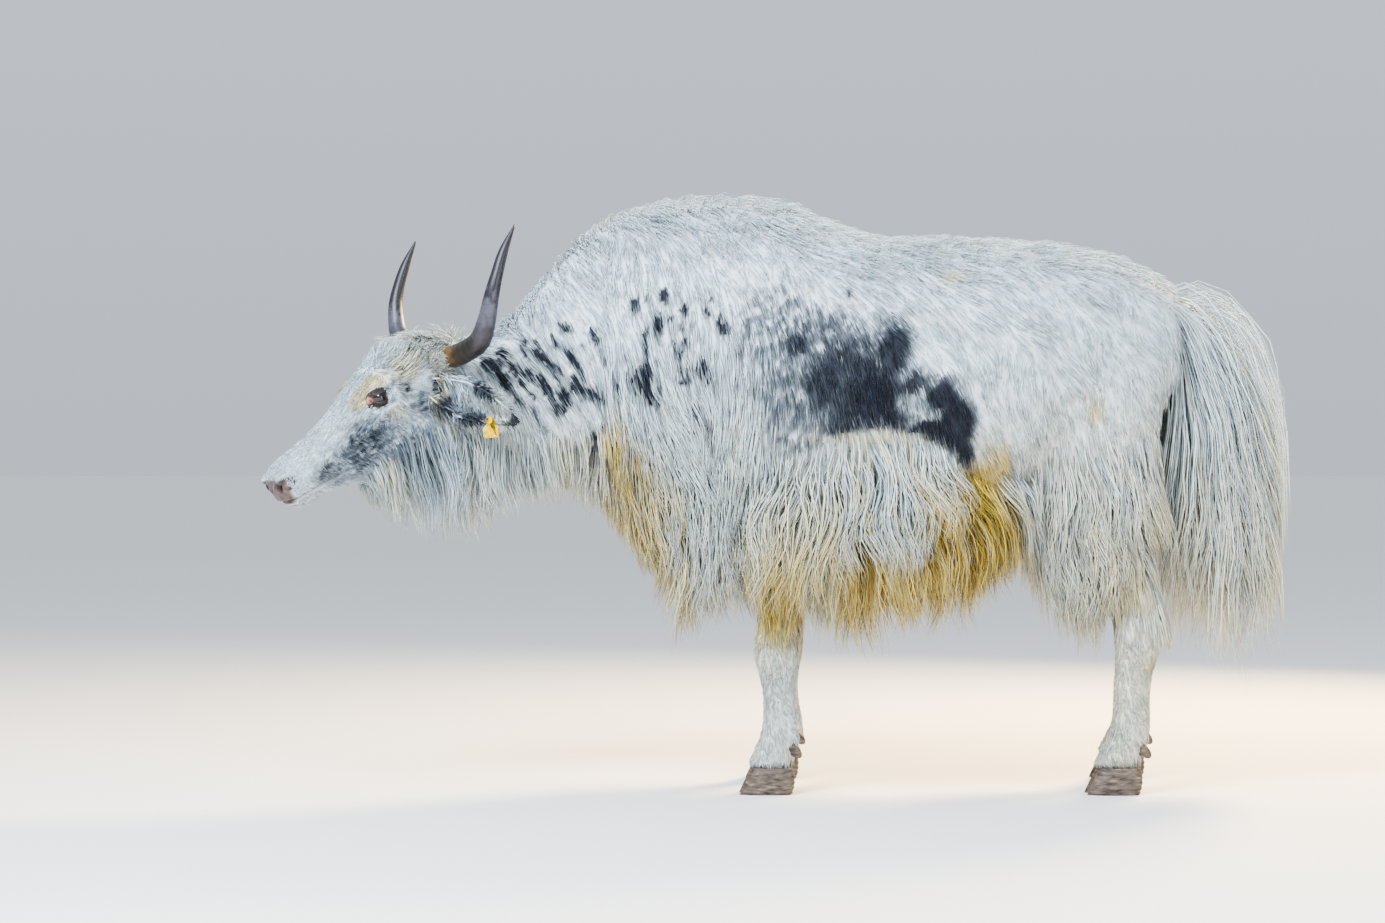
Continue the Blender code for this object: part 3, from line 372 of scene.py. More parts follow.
def leg_rings(name):
    table = FORE_LEG if name.startswith("fore") else HIND_LEG
    rings = []
    for k in range(34):
        z = table[0][0] + (table[-1][0] - table[0][0]) * (k / 33) ** 1.15
        step, long, wide = row_at(table, z)
        x, y = leg_place(name, z)
        up = min(max((z - 0.36) / 0.25, 0.0), 1.0)
        depth = SKIN_DEPTH["leg"] + (SKIN_DEPTH["thigh"] - SKIN_DEPTH["leg"]) * up
        x += step
        long, wide = long - depth, wide - depth
        rings.append([Vector((x + long * math.cos(a), y + wide * math.sin(a), z)) for a in turns(24)])
    return rings


def tail_rings():
    """The dock of the tail, much thinner than the hair round it."""
    rings = []
    for k in range(14):
        x, z, deep, wide = row_along(TAIL, k / 13)
        ahead, behind = row_along(TAIL, min(k / 13 + 0.05, 1)), row_along(TAIL, max(k / 13 - 0.05, 0))
        along = Vector((ahead[0] - behind[0], 0, ahead[1] - behind[1])).normalized()
        across = Vector((-along.z, 0, along.x))
        part = 0.84 - 0.26 * min(k / 7, 1.0)
        rings.append([
            Vector((x, wide * part * math.sin(a), z)) + across * deep * part * math.cos(a) for a in turns(20)
        ])
    return rings


def skull_rings():
    rings = []
    for k in range(36):
        f = SKULL[0][0] + (SKULL[-1][0] - 0.003 - SKULL[0][0]) * math.sin(math.pi / 2 * k / 35)
        top, bottom, half, widest, square = row_at(SKULL, f)
        back = min(max(1 - f / 0.22, 0.0), 1.0)
        depth = SKIN_DEPTH["face"] + (SKIN_DEPTH["poll"] - SKIN_DEPTH["face"]) * back
        round_end = 1 - 0.34 * max((f - 0.480) / 0.019, 0.0) ** 2
        points = oval(half, top, bottom, widest, square, 36, depth, under=0.95)
        rings.append([on_head(f, s * round_end, -0.062 + (u + 0.062) * round_end) for s, u in points])
    return rings


LEGS = list(LEG_AT)
PARTS = {"trunk": trunk_rings(), "neck": neck_rings(), "tail": tail_rings(), "skull": skull_rings()}
PARTS.update({name: leg_rings(name) for name in LEGS})
part_trees = {}
for part, rings in PARTS.items():
    bm = bmesh.new()
    sleeve(bm, rings)
    bmesh.ops.recalc_face_normals(bm, faces=bm.faces)
    bmesh.ops.triangulate(bm, faces=bm.faces)
    part_trees[part] = BVHTree.FromBMesh(bm)
    bm.free()
print("sleeves:", {part: len(rings) for part, rings in PARTS.items()})

# %% Melt them together
BODY_VOXEL, HEAD_VOXEL = 0.011, 0.0032


def melt(name, bm, voxel, smooth):
    """A voxel remesh of everything in the bmesh, smoothed so that the joins flow."""
    obj = finish_piece(name, bm)
    remesh = obj.modifiers.new("melt", "REMESH")
    remesh.mode = "VOXEL"
    remesh.voxel_size = voxel
    relax = obj.modifiers.new("relax", "SMOOTH")
    relax.factor = 0.5
    relax.iterations = smooth
    return applied(obj)


bm = bmesh.new()
for part in ("trunk", "neck", "tail", *LEGS):
    sleeve(bm, PARTS[part])
body = melt("skin_body", bm, BODY_VOXEL, 10)

bm = bmesh.new()
sleeve(bm, PARTS["skull"])
for s in (1, -1):
    ball(bm, on_head(0.178, s * 0.078, 0.000), (0.048, 0.022, 0.017), HEAD_TURN)  # brow
    ball(bm, on_head(0.130, s * 0.066, -0.115), (0.085, 0.036, 0.070), HEAD_TURN)  # cheek
    ball(bm, on_head(0.245, s * 0.076, -0.060), (0.060, 0.016, 0.016), HEAD_TURN)  # cheek bone
    ball(bm, on_head(0.478, s * 0.046, -0.044), (0.025, 0.019, 0.022), HEAD_TURN)  # wing of the nose
    ball(bm, on_head(0.028, s * 0.078, -0.044), (0.036, 0.034, 0.036), HEAD_TURN)  # seat of the horn
ball(bm, on_head(0.466, 0, -0.062), (0.041, 0.056, 0.036), HEAD_TURN)  # muzzle
ball(bm, on_head(0.448, 0, -0.104), (0.036, 0.042, 0.020), HEAD_TURN)  # chin
head = melt("skin_head", bm, HEAD_VOXEL, 6)
print("skin:", len(body.data.polygons), "faces of body,", len(head.data.polygons), "of head")

# %% [markdown]
# ## The features of the head
# Nostrils, the line of the mouth and the folds over the eye are too fine to build as solids that melt
# together, so the vertices of the remeshed head are moved along their normals instead, by amounts that
# fade with the distance from each feature. This is sculpting, written down.

# %% Read and move vertices in bulk
HEAD_AXES = np.array([HEAD_F, HEAD_S, HEAD_U])


def read(what, name, width=3):
    """A property of a mesh's vertices or corners as an array."""
    data = np.empty(len(what) * width, np.float32)
    what.foreach_get(name, data)
    return data.reshape(-1, width).astype(float)


def head_place(points):
    """World points in the head's own frame: f along the face, s to its left, u up."""
    return (points - np.array(POLL)) @ HEAD_AXES.T


def fade(distance, reach):
    """1 at no distance, falling softly to nothing."""
    return np.exp(-((distance / reach) ** 2))


def step(low, high, value):
    """0 below, 1 above, and smooth between. It also runs downward where low is more than high."""
    share = np.clip((value - low) / (high - low), 0, 1)
    return share * share * (3 - 2 * share)


points = read(head.data.vertices, "co")
normals = read(head.data.vertices, "normal")
f, s, u = head_place(points).T
near = np.abs(s)
lip = MOUTH_HEIGHT[0] + (MOUTH_HEIGHT[1] - MOUTH_HEIGHT[0]) * np.clip((f - MOUTH_CORNER) / 0.155, 0, 1)
in_mouth = step(MOUTH_CORNER - 0.006, MOUTH_CORNER + 0.010, f)
outside = step(0.05, 0.075, near)
push = -0.016 * fade(np.hypot(f - EYE_AT[0], u - EYE_AT[2]), 0.018) * outside  # socket
push += 0.0030 * fade(u - 0.016 + 0.25 * (f - 0.20), 0.007) * fade(f - 0.200, 0.034) * outside  # brow
push -= 0.0030 * fade(u - 0.001 + 0.25 * (f - 0.20), 0.005) * fade(f - 0.200, 0.030) * outside  # its fold
push += 0.0025 * fade(u + 0.050, 0.008) * fade(f - 0.212, 0.034) * outside  # rim under the eye
push -= 0.0020 * fade(u + 0.062, 0.006) * fade(f - 0.225, 0.030) * outside
slant = u + 0.046 - 0.30 * (near - 0.041)
hole = np.sqrt(((f - 0.494) / 0.022) ** 2 + ((near - 0.041) / 0.0150) ** 2 + (slant / 0.0080) ** 2)
push -= 0.0190 * np.exp(-(hole ** 2))  # nostril
push += 0.0030 * fade(hole - 1.9, 0.5) * step(-0.004, 0.004, slant)  # the fold over it
nostril = np.exp(-(hole ** 2) * 0.9)
push -= 0.0060 * fade(u - lip, 0.0032) * in_mouth  # line of the mouth
push += 0.0022 * (fade(u - lip - 0.0085, 0.005) + 0.8 * fade(u - lip + 0.0095, 0.006)) * in_mouth  # lips
push -= 0.0030 * fade(s, 0.004) * step(0.470, 0.490, f) * step(-0.080, -0.066, u)  # middle of the nose
push -= 0.0040 * fade(f - 0.315, 0.035) * fade(u + 0.085, 0.020)  # hollow in front of the cheek
ripple = np.sin((f * 0.8 + u * 0.6) * 620) * fade(f - 0.235, 0.050) * fade(u + 0.060, 0.035) * outside
push += 0.0007 * ripple
points += normals * push[:, None]
head.data.vertices.foreach_set("co", points.astype(np.float32).ravel())
head.data.update()
# Painted shade: the skin is darkened to near black inside the nostrils and along the line of the mouth.
painted_hollow_shade = np.clip(1.5 * nostril + 0.9 * fade(u - lip, 0.0030) * in_mouth, 0, 1)  # dark inside
print("sculpted: deepest %.1f mm, highest %.1f mm" % (push.min() * 1000, push.max() * 1000))

# %% A search tree of the head
def tree_of(obj):
    bm = bmesh.new()
    bm.from_mesh(obj.data)
    tree = BVHTree.FromBMesh(bm)
    bm.free()
    return tree


head_tree = tree_of(head)
print("highest skin of the head", round(max(v.co.z for v in head.data.vertices), 3))

# %% [markdown]
# ## Eyes and lids
# A cow's eye is a dark ball with a wide pupil that lies level, under a clear wet dome. Only a slit of it
# shows between thick lids, and that slit gives the face its look, so the lids are their own piece:
# rings of points that start on the ball, swell over it and end under the skin round it.

# %% Eyes
EYE_OUT = Vector((0.10, 1.0, 0.04)).normalized()  # the way that the left eye looks, in the head's frame


def eye_frame(side):
    """The eye's own frame: Z looks out, X lies along the slit from its back to its front."""
    look = (HEAD_F * EYE_OUT.x + HEAD_S * EYE_OUT.y * side + HEAD_U * EYE_OUT.z).normalized()
    slit = (HEAD_F + HEAD_U * 0.36)
    slit = (slit - look * slit.dot(look)).normalized()
    high = slit.cross(look) * -side
    place = on_head(EYE_AT[0], side * EYE_AT[1], EYE_AT[2])
    return place, slit, high, look


def frame_matrix(place, one, two, three):
    return Matrix.Translation(place) @ Matrix((one, two, three)).transposed().to_4x4()


def eye_piece(word, side):
    place, slit, _, look = eye_frame(side)
    bm = bmesh.new()
    turn = frame_matrix(Vector(), slit, look.cross(slit), look)
    ball(bm, place, (EYE_RADIUS,) * 3, turn, u=48, v=32)
    for v in bm.verts:
        out = (v.co - place).normalized().dot(look)
        v.co += look * 0.0018 * max((out - 0.80) / 0.20, 0.0) ** 2  # the clear dome stands proud
    return finish_piece("eyeball_" + word, bm)


def lid_piece(word, side):
    """Both lids of an eye as one piece of rings, with pink flesh in the front corner."""
    place, slit, high, look = eye_frame(side)
    rows = (  # from the rim outward: half length, height over and under, stand, share that lies on the skin
        (0.0196, 0.0086, 0.0074, -0.0010, 0.0),
        (0.0199, 0.0090, 0.0077, 0.0010, 0.0),
        (0.0212, 0.0106, 0.0090, 0.0030, 0.0),
        (0.0236, 0.0134, 0.0114, 0.0036, 0.10),
        (0.0268, 0.0170, 0.0144, 0.0030, 0.45),
        (0.0315, 0.0230, 0.0195, 0.0014, 0.85),
        (0.0370, 0.0285, 0.0255, -0.0030, 1.0),
    )
    bm = bmesh.new()
    loops = []
    for long, over, under, stand, onto in rows:
        ring_points = []
        for a in turns(40):
            x = long * math.cos(a) * (1.08 if math.cos(a) > 0 else 1.0)
            rise = math.sin(a)
            y = (over if rise > 0 else under) * math.copysign(abs(rise) ** 0.90, rise)
            flat = math.hypot(x, y)
            bulge = math.sqrt(max(EYE_RADIUS ** 2 - flat ** 2, 0.0)) if flat < EYE_RADIUS else 0.0
            over_ball = place + slit * x + high * y + look * (bulge + stand)
            hit, normal, _, _ = head_tree.find_nearest(place + slit * x + high * y + look * 0.012)
            on_skin = hit + normal * stand
            ring_points.append(over_ball.lerp(on_skin, onto))
        loops.append(ring(bm, ring_points))
    for one, two in zip(loops, loops[1:]):
        bmesh.ops.bridge_loops(bm, edges=edges_of(one, two))
    bmesh.ops.subdivide_edges(bm, edges=bm.edges, cuts=1, use_grid_fill=True, smooth=0.6)
    ball(bm, place + slit * 0.0192 - high * 0.0012 + look * 0.0050, (0.0036,) * 3)
    corner = bm.verts.layers.float.new("Corner")
    for v in bm.verts:
        to_front = min(max(((v.co - place).dot(slit) - 0.0160) / 0.0060, 0.0), 1.0)
        level = min(max((0.0095 - abs((v.co - place).dot(high))) / 0.005, 0.0), 1.0)
        v[corner] = to_front * level
    return finish_piece("eyelids_" + word, bm)


eyes = {word: eye_piece(word, side) for word, side in SIDES.items()}
lids = {word: lid_piece(word, side) for word, side in SIDES.items()}
for word in SIDES:
    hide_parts("eye_" + word)
print("lids:", [len(obj.data.polygons) for obj in lids.values()])

# %% [markdown]
# ## Horns, hooves and dewclaws
# Horn is laid down in rings at its root, so a horn is a sleeve of many rings whose radius swells a
# little with each year's growth. Hooves are made the same way, with level ridges.

# %% Horns
def horn_piece(word, side):
    """A horn as a sleeve along its curve, with a share of the way along kept for its colours."""
    rings, shares = [], []
    count, around = 90, 28
    one = None
    for k in range(count):
        share = (k / (count - 1)) ** 0.97
        f, s, u, radius = row_along(HORN, share)
        ahead, behind = row_along(HORN, min(share + 0.015, 1.0)), row_along(HORN, max(share - 0.015, 0.0))
        along = on_head(ahead[0], side * ahead[1], ahead[2]) - on_head(behind[0], side * behind[1], behind[2])
        along.normalize()
        one = along.orthogonal().normalized() if one is None else (one - along * one.dot(along)).normalized()
        two = along.cross(one)
        growth = 0.020 * math.exp(-((share - 0.30) / 0.22) ** 2) * math.sin(share * 150)
        radius = max(radius * (1 + growth), 0.0012)
        middle = on_head(f, side * s, u)
        points = []
        for a in turns(around):
            way = one * math.cos(a) + two * math.sin(a)
            ridge = 1 + 0.010 * noise.noise(Vector((a * 2.0, share * 3.0, side))) * (1 - share)
            points.append(middle + way * radius * ridge)
        rings.append(points)
        shares += [share] * around
    bm = bmesh.new()
    along_layer = bm.verts.layers.float.new("Along")
    loops = sleeve(bm, rings)
    for loop, share in zip(loops, shares[::around]):
        for v in loop:
            v[along_layer] = share
    obj = finish_piece("horn_of_" + word, bm)
    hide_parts("horn_" + word)
    return obj


horns = [horn_piece(word, side) for word, side in SIDES.items()]
print("horns:", [len(obj.data.polygons) for obj in horns], "faces")

# %% Hooves
CLAW_LENGTH, CLAW_WIDTH, CLEFT = 0.118, 0.047, 0.006
CLAW = (  # height, share of the length, how far the toe stands back, share of the width
    (0.0, 1.0, 0.0, 1.0),
    (0.022, 0.96, 0.010, 1.0),
    (0.045, 0.86, 0.022, 0.96),
    (0.0597, 0.76, 0.030, 0.86),
)


def claw_piece(name, mate, word):
    """One half of a cloven hoof, its sole flat on the floor."""
    x, y = leg_place(name, 0.0)
    first = (FORE_LEG if name.startswith("fore") else HIND_LEG)[0][1]
    middle = y + mate * (CLEFT + CLAW_WIDTH) / 2
    rings = []
    for k in range(16):
        z = CLAW[-1][0] * k / 15
        long, front, wide = row_at(CLAW, z)
        ridge = 0.0006 * math.sin(k * 2.1) - (0.0020 if k == 0 else 0.0)
        length = CLAW_LENGTH * long + 2 * ridge
        toe = x + first - CLAW_LENGTH * 0.56 + front
        points = []
        for a in turns(28):
            along, across = math.cos(a), math.sin(a)
            point = 0.80 if across * mate > 0 else 0.45
            narrow = 1 - 0.28 * max(along, 0) ** 2
            half = CLAW_WIDTH / 2 * wide + ridge
            points.append(Vector((
                toe + length / 2 - length / 2 * math.copysign(abs(along) ** 0.85, along),
                middle + half * math.copysign(abs(across) ** point, across) * narrow,
                z,
            )))
        rings.append(points)
    bm = bmesh.new()
    sleeve(bm, rings)
    obj = finish_piece(f"claw_{name}_{word}", bm)
    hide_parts(f"hoof_{name}_{word}")
    return obj


def dewclaw_piece(name):
    """The two small claws behind the fetlock, as blunt cones that point down and back."""
    table = FORE_LEG if name.startswith("fore") else HIND_LEG
    x, y = leg_place(name, 0.1)
    first, long, wide = row_at(table, 0.100)
    bm = bmesh.new()
    for side in (-1, 1):
        place = Vector((x + first + long * 0.80, y + side * wide * 0.48, 0.099))
        turn = Matrix.Rotation(math.radians(35), 4, "Y")
        for v in ball(bm, place, (0.020, 0.011, 0.014), turn):
            v.co.z -= 0.006 * max((v.co.x - place.x) / 0.02, 0.0)
    return finish_piece("dewclaws_" + name, bm)


hooves = []
for name in LEGS:
    side = -1 if name.endswith("left") else 1
    for mate, word in ((-side, "inner"), (side, "outer")):
        hooves.append(claw_piece(name, mate, word))
    hooves.append(dewclaw_piece(name))
print("hooves:", sum(len(obj.data.polygons) for obj in hooves), "faces")

# %% [markdown]
# ## Ears and the ear tag
# An ear is a leaf of gristle curled into a cup: rolled almost shut at its root and open towards its tip.
# A flat grid is bent over that leaf, and Solidify gives it the thickness of an ear. The tag is moulded
# plastic, one blank plate with a stud through the ear.

# %% Ears
def ear_axes(side):
    root, tip = (on_head(f, side * s, u) for f, s, u in (EAR_ROOT, EAR_TIP))
    along = (tip - root).normalized()
    front = HEAD_F * 0.45 + HEAD_S * side * 0.62 + HEAD_U * 0.35  # the cup looks forward, out and up
    front = (front - along * front.dot(along)).normalized()
    return root, along, along.cross(front) * side, front, (tip - root).length


def on_ear(side, across_share, share):
    """A point of the ear's leaf: across runs from -1 to 1 and share from its root to its tip."""
    root, along, across, front, length = ear_axes(side)
    swell = math.sin(math.pi * (0.18 + 0.82 * min(max(share, 0.0), 1.0))) ** 0.75 if share < 1 else 0.0
    half = max((EAR_WIDTH / 2 - 0.002) * swell, 0.002)
    deep = EAR_THICK / 2 * (0.35 + 0.65 * swell)
    roll = 1.0 - 0.75 * min(max(share / 0.35, 0.0), 1.0)  # nearly closed at the root
    turn = across_share * (1.15 + 0.9 * roll)
    sideways = half * math.sin(turn) / math.sin(1.15) * (1.0 if roll < 0.3 else 1.0 - 0.25 * roll)
    forward = half * (0.62 * (1 - math.cos(turn))) - deep * (1 - across_share ** 2)
    bend = -front * 0.020 * share ** 2 - across * 0.010 * share
    start = root - along * length * 0.10
    return start + along * length * 1.10 * share + bend + across * sideways + front * forward


def ear_piece(word, side):
    bm = bmesh.new()
    bmesh.ops.create_grid(bm, x_segments=18, y_segments=34, size=1.0)
    for v in bm.verts:
        v.co = on_ear(side, v.co.x, (v.co.y + 1) / 2 * 0.985)
    obj = finish_piece("ear_of_" + word, bm)
    shell = obj.modifiers.new("gristle", "SOLIDIFY")
    shell.thickness = 0.0042
    shell.offset = 0.0
    soft = obj.modifiers.new("soft", "SUBSURF")
    soft.levels = 1
    soft.render_levels = 1
    return applied(obj)


ears = {word: ear_piece(word, side) for word, side in SIDES.items()}
print("ears:", [len(obj.data.polygons) for obj in ears.values()], "faces")

# %% The tag
def tag_piece():
    root, along, across, front, length = ear_axes(1)
    down = across if across.z < 0 else -across
    centre = root + along * length * TAG_SHARE + down * EAR_WIDTH * 0.14 - front * TAG_BACK
    half, wide, high = EAR_THICK / 2 + 0.012, 0.034, 0.040
    bm = bmesh.new()
    stud = 0.0034
    bmesh.ops.create_cone(bm, cap_ends=True, segments=20, radius1=stud, radius2=stud, depth=2 * half - 0.001)
    for z, radius in ((half - 0.0012, 0.0088), (-half + 0.0012, 0.0098)):
        bmesh.ops.create_cone(
            bm, cap_ends=True, segments=32, radius1=radius, radius2=radius * 0.94, depth=0.0024,
            matrix=Matrix.Translation((0, 0, z)),
        )
    outline = ((-0.20, 0.10), (0.20, 0.10), (0.50, -0.45), (0.50, -0.92), (0.38, -1.0), (-0.38, -1.0),
               (-0.50, -0.92), (-0.50, -0.45))
    stand = Matrix.Translation((0, 0, half - 0.0036)) @ Matrix.Rotation(math.radians(TAG_HANG), 4, "Z")
    stand = stand @ Matrix.Rotation(math.radians(TAG_TURN), 4, "Y")
    plate = ring(bm, [stand @ Vector((x * wide, y * high, 0.0)) for x, y in outline])
    face = bmesh.ops.contextual_create(bm, geom=edges_of(plate))["faces"]
    lifted = bmesh.ops.extrude_face_region(bm, geom=face)["geom"]
    top = [g for g in lifted if isinstance(g, bmesh.types.BMVert)]
    bmesh.ops.translate(bm, verts=top, vec=stand.to_3x3() @ Vector((0, 0, 0.0022)))
    sharp = [e for e in bm.edges if len(e.link_faces) == 2 and e.calc_face_angle(0) > 0.9]
    bmesh.ops.bevel(bm, geom=sharp, offset=0.0005, affect="EDGES", segments=2, profile=0.5, material=-1)
    bmesh.ops.transform(bm, matrix=frame_matrix(centre, along, -down, front), verts=bm.verts)
    obj = finish_piece("blank_tag", bm)
    obj.data.set_sharp_from_angle(angle=math.radians(40))
    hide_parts("ear_tag")
    return obj


tag = tag_piece()
print("tag:", len(tag.data.polygons), "faces")

# %% [markdown]
# ## An unwrap for baking
# Each piece's colours can be baked to an image through a UV map named OFBake. Tens of thousands of
# tufts can't each have an island, so each one gets a tiny patch at the place where its root lies on an
# unwrap of the skin itself. A coarse copy of the skin is enough for that, and quick to unwrap.

# %% Unwrap a coarse copy of the skin
def joined(name, *objects):
    bm = bmesh.new()
    for obj in objects:
        bm.from_mesh(obj.data)
    mesh = bpy.data.meshes.new(name)
    bm.to_mesh(mesh)
    bm.free()
    return placed(name, mesh)


coarse = joined("coarse", body, head, ears["left"], ears["right"])
thin = coarse.modifiers.new("thin", "DECIMATE")
thin.ratio = 0.07
applied(coarse)
bpy.context.view_layer.objects.active = coarse
coarse.select_set(True)
bpy.ops.object.mode_set(mode="EDIT")
bpy.ops.mesh.select_all(action="SELECT")
bpy.ops.mesh.quads_convert_to_tris()
bpy.ops.uv.smart_project(angle_limit=math.radians(66), island_margin=0.004)
bpy.ops.object.mode_set(mode="OBJECT")
triangles = [list(p.vertices) for p in coarse.data.polygons]
atlas_tree = BVHTree.FromPolygons([v.co for v in coarse.data.vertices], triangles)
atlas_corners = read(coarse.data.vertices, "co")[np.array(triangles)]
atlas_uv = read(coarse.data.uv_layers.active.data, "uv", 2).reshape(-1, 3, 2)
bpy.data.objects.remove(coarse)


def unwrap_at(points):
    """The place of each point on the unwrap of the skin."""
    found = [atlas_tree.find_nearest(Vector(p)) for p in points]
    index = np.array([hit[2] for hit in found])
    place = np.array([hit[0] for hit in found])
    a, b, c = (atlas_corners[index, k] for k in range(3))
    one, two, to = b - a, c - a, place - a
    d11, d12, d22 = ((p * q).sum(1) for p, q in ((one, one), (one, two), (two, two)))
    e1, e2 = (to * one).sum(1), (to * two).sum(1)
    flat = np.maximum(d11 * d22 - d12 * d12, 1e-14)
    v, w = (d22 * e1 - d12 * e2) / flat, (d11 * e2 - d12 * e1) / flat
    share = np.stack([1 - v - w, v, w], 1)[:, :, None]
    return (atlas_uv[index] * share).sum(1)


print("unwrap:", len(atlas_uv), "triangles, to", round(float(atlas_uv.max()), 2))

# %% [markdown]
# ## Markings
# The coat is white with a blue-black patch on the flank, dark spots on the neck and shoulder, and golden
# hair low on the body, which is partly real stain where the long hair drags and partly a painted glow of
# warm light shining through the hair from behind. Each marking is an oval of one table, and its edge is
# broken by noise. Every hair takes the marking of the place that it covers, and its tip that of its own
# place, so a patch's lower edge is combed downward. The skin takes the same markings at its vertices.

# %% Ovals of colour
def in_metres(*rows):
    """Ovals from millimetres and percent: two places, half length, half height and strength."""
    return [(*(v / 1000 for v in row[:4]), row[4] / 100) for row in rows]


FLANK = in_metres(
    (137, 913, 130, 118, 90), (214, 880, 92, 79, 100), (242, 990, 48, 75, 95), (33, 1001, 40, 40, 90),
    (290, 918, 34, 32, 90), (350, 885, 50, 46, 98), (379, 825, 48, 88, 100), (403, 759, 31, 35, 100),
    (313, 814, 70, 24, 100), (30, 905, 90, 125, 70), (-10, 1030, 100, 100, 54), (38, 788, 79, 35, 52),
    (103, 1023, 110, 65, 74), (192, 819, 132, 26, 95), (170, 970, 80, 80, 85),
)
FLANK_LIGHT = in_metres((275, 872, 30, 20, 100))
SHOULDER_SPOTS = in_metres(
    (-328, 1094, 9, 15, 90), (-301, 1107, 4, 9, 70), (-262, 1111, 9, 13, 90), (-216, 1083, 7, 11, 90),
    (-156, 1105, 4, 9, 70), (-248, 1063, 7, 7, 70), (-277, 1045, 11, 18, 90), (-224, 1043, 7, 9, 60),
    (-139, 1072, 4, 7, 80), (-128, 1039, 11, 15, 70), (-301, 1028, 7, 11, 60), (-216, 1006, 9, 11, 90),
    (-200, 1045, 4, 9, 60), (-240, 1004, 4, 11, 80), (-231, 977, 9, 11, 90), (-301, 975, 4, 11, 70),
    (-348, 975, 7, 11, 50), (-277, 955, 7, 13, 50), (-202, 955, 9, 11, 80), (-176, 944, 11, 18, 90),
    (-213, 920, 11, 9, 80), (-161, 924, 9, 11, 80), (-328, 913, 11, 18, 80), (-301, 918, 11, 31, 90),
    (-282, 885, 15, 15, 90), (-365, 898, 9, 22, 60), (-176, 836, 13, 24, 80), (-95, 975, 9, 11, 50),
    (-73, 1100, 9, 13, 40), (-134, 858, 9, 20, 40), (148, 1116, 9, 9, 70), (284, 1078, 7, 9, 40),
)
NECK_SPOTS = in_metres(
    (-546, 984, 13, 15, 80), (-517, 957, 11, 18, 80), (-532, 913, 11, 26, 90), (-568, 942, 9, 15, 70),
    (-486, 1045, 15, 9, 70), (-420, 1023, 9, 18, 70), (-464, 968, 8, 20, 90), (-447, 1001, 7, 9, 50),
    (-458, 907, 15, 15, 90), (-486, 885, 13, 18, 90), (-435, 898, 20, 13, 90), (-409, 880, 13, 11, 90),
    (-502, 863, 15, 13, 80), (-534, 814, 9, 11, 50), (-396, 968, 7, 13, 60), (-590, 880, 11, 18, 60),
    (-579, 1001, 11, 13, 50), (-420, 799, 7, 9, 80), (-396, 819, 7, 9, 80), (-420, 766, 11, 9, 90),
    (-473, 766, 7, 7, 60), (-601, 951, 15, 18, 60), (-629, 986, 13, 11, 80), (-623, 924, 13, 26, 70),
    (-653, 964, 22, 13, 80), (-556, 858, 9, 15, 50),
)
# Golden hair: partly real stain where the long hair drags, and partly painted glow of warm backlight shining
# through the hair.
GOLD = in_metres(
    (300, 600, 270, 75, 92), (440, 640, 60, 110, 95), (475, 700, 36, 80, 75), (-240, 590, 70, 80, 80),
    (-10, 450, 85, 130, 90), (200, 420, 260, 60, 85), (-370, 765, 45, 50, 85), (-330, 660, 80, 85, 80),
    (-450, 730, 80, 60, 45), (990, 600, 45, 90, 80), (860, 575, 35, 75, 60), (730, 470, 120, 100, 55),
    (690, 845, 22, 32, 55), (230, 795, 230, 18, 45), (390, 1155, 30, 12, 45), (-110, 800, 15, 25, 45),
    (900, 330, 40, 80, 30), (620, 620, 60, 120, 30),
)
ARCH = (  # the line that the skirt's long hair grows from
    (-0.117, 0.660), (-0.061, 0.722), (-0.028, 0.746), (0.038, 0.759), (0.103, 0.792), (0.170, 0.814),
    (0.236, 0.814), (0.302, 0.799), (0.367, 0.766), (0.401, 0.726), (0.434, 0.667), (0.460, 0.605),
)
# The next three lie on the head, where the places are f and u.
FACE_DARK = in_metres(
    (145, -42, 20, 22, 80), (130, -92, 28, 32, 50), (186, -40, 14, 9, 50), (390, -90, 36, 34, 62),
    (70, -85, 22, 32, 90), (165, -12, 18, 9, 40), (289, -91, 56, 52, 60), (206, -169, 54, 38, 50),
    (335, -125, 34, 24, 45),
)
FACE_GREY = in_metres(
    (275, -100, 85, 68, 92), (200, -160, 85, 54, 88), (140, -118, 52, 50, 70), (350, -100, 50, 42, 80),
    (240, -185, 50, 28, 60),
)
FACE_GOLD = in_metres(
    (240, 0, 26, 20, 60), (200, 14, 46, 13, 55), (110, -4, 44, 30, 42), (200, -66, 30, 16, 40),
    (280, -190, 50, 20, 55), (100, -140, 30, 40, 45),
)


print("ovals:", len(FLANK + SHOULDER_SPOTS + NECK_SPOTS + GOLD + FACE_DARK + FACE_GREY + FACE_GOLD))


# %% Noise, spots and ovals on the skin
def arch_at(x):
    return np.interp(x, [p[0] for p in ARCH], [p[1] for p in ARCH], left=0.60)


def rough(points, scale, seed=0.0):
    """Smooth noise from -1 to 1 at each point. The scale is in waves a metre."""
    return np.array([noise.noise(Vector(p) * scale + Vector((seed, seed, seed))) for p in points])


def spotted(points, cell, size, seed=0.0):
    """Scattered spots: 1 in each spot's middle, for cells of a size in metres."""
    stretch = np.array([1.0, 1.0, 0.55]) / cell
    near = np.array([noise.voronoi(Vector(p * stretch) + Vector((seed, 0, seed)))[0][0] for p in points])
    return step(size, size * 0.55, near)


def ovals(table, a, b, soft=0.26, lean=0.0, grow=1.0):
    """How strongly the ovals of a table cover each place. They may lean as combed hair does."""
    total = np.zeros(len(a))
    for x, z, long, high, strength in table:
        inside = np.sqrt(((a - x + lean * (b - z)) / long) ** 2 + ((b - z) / high) ** 2) / grow
        total = np.maximum(total, strength * step(1.0 + soft / 2, 1.0 - soft / 2, inside))
    return total


print("noise at the poll:", round(float(rough([POLL], 16)[0]), 3))


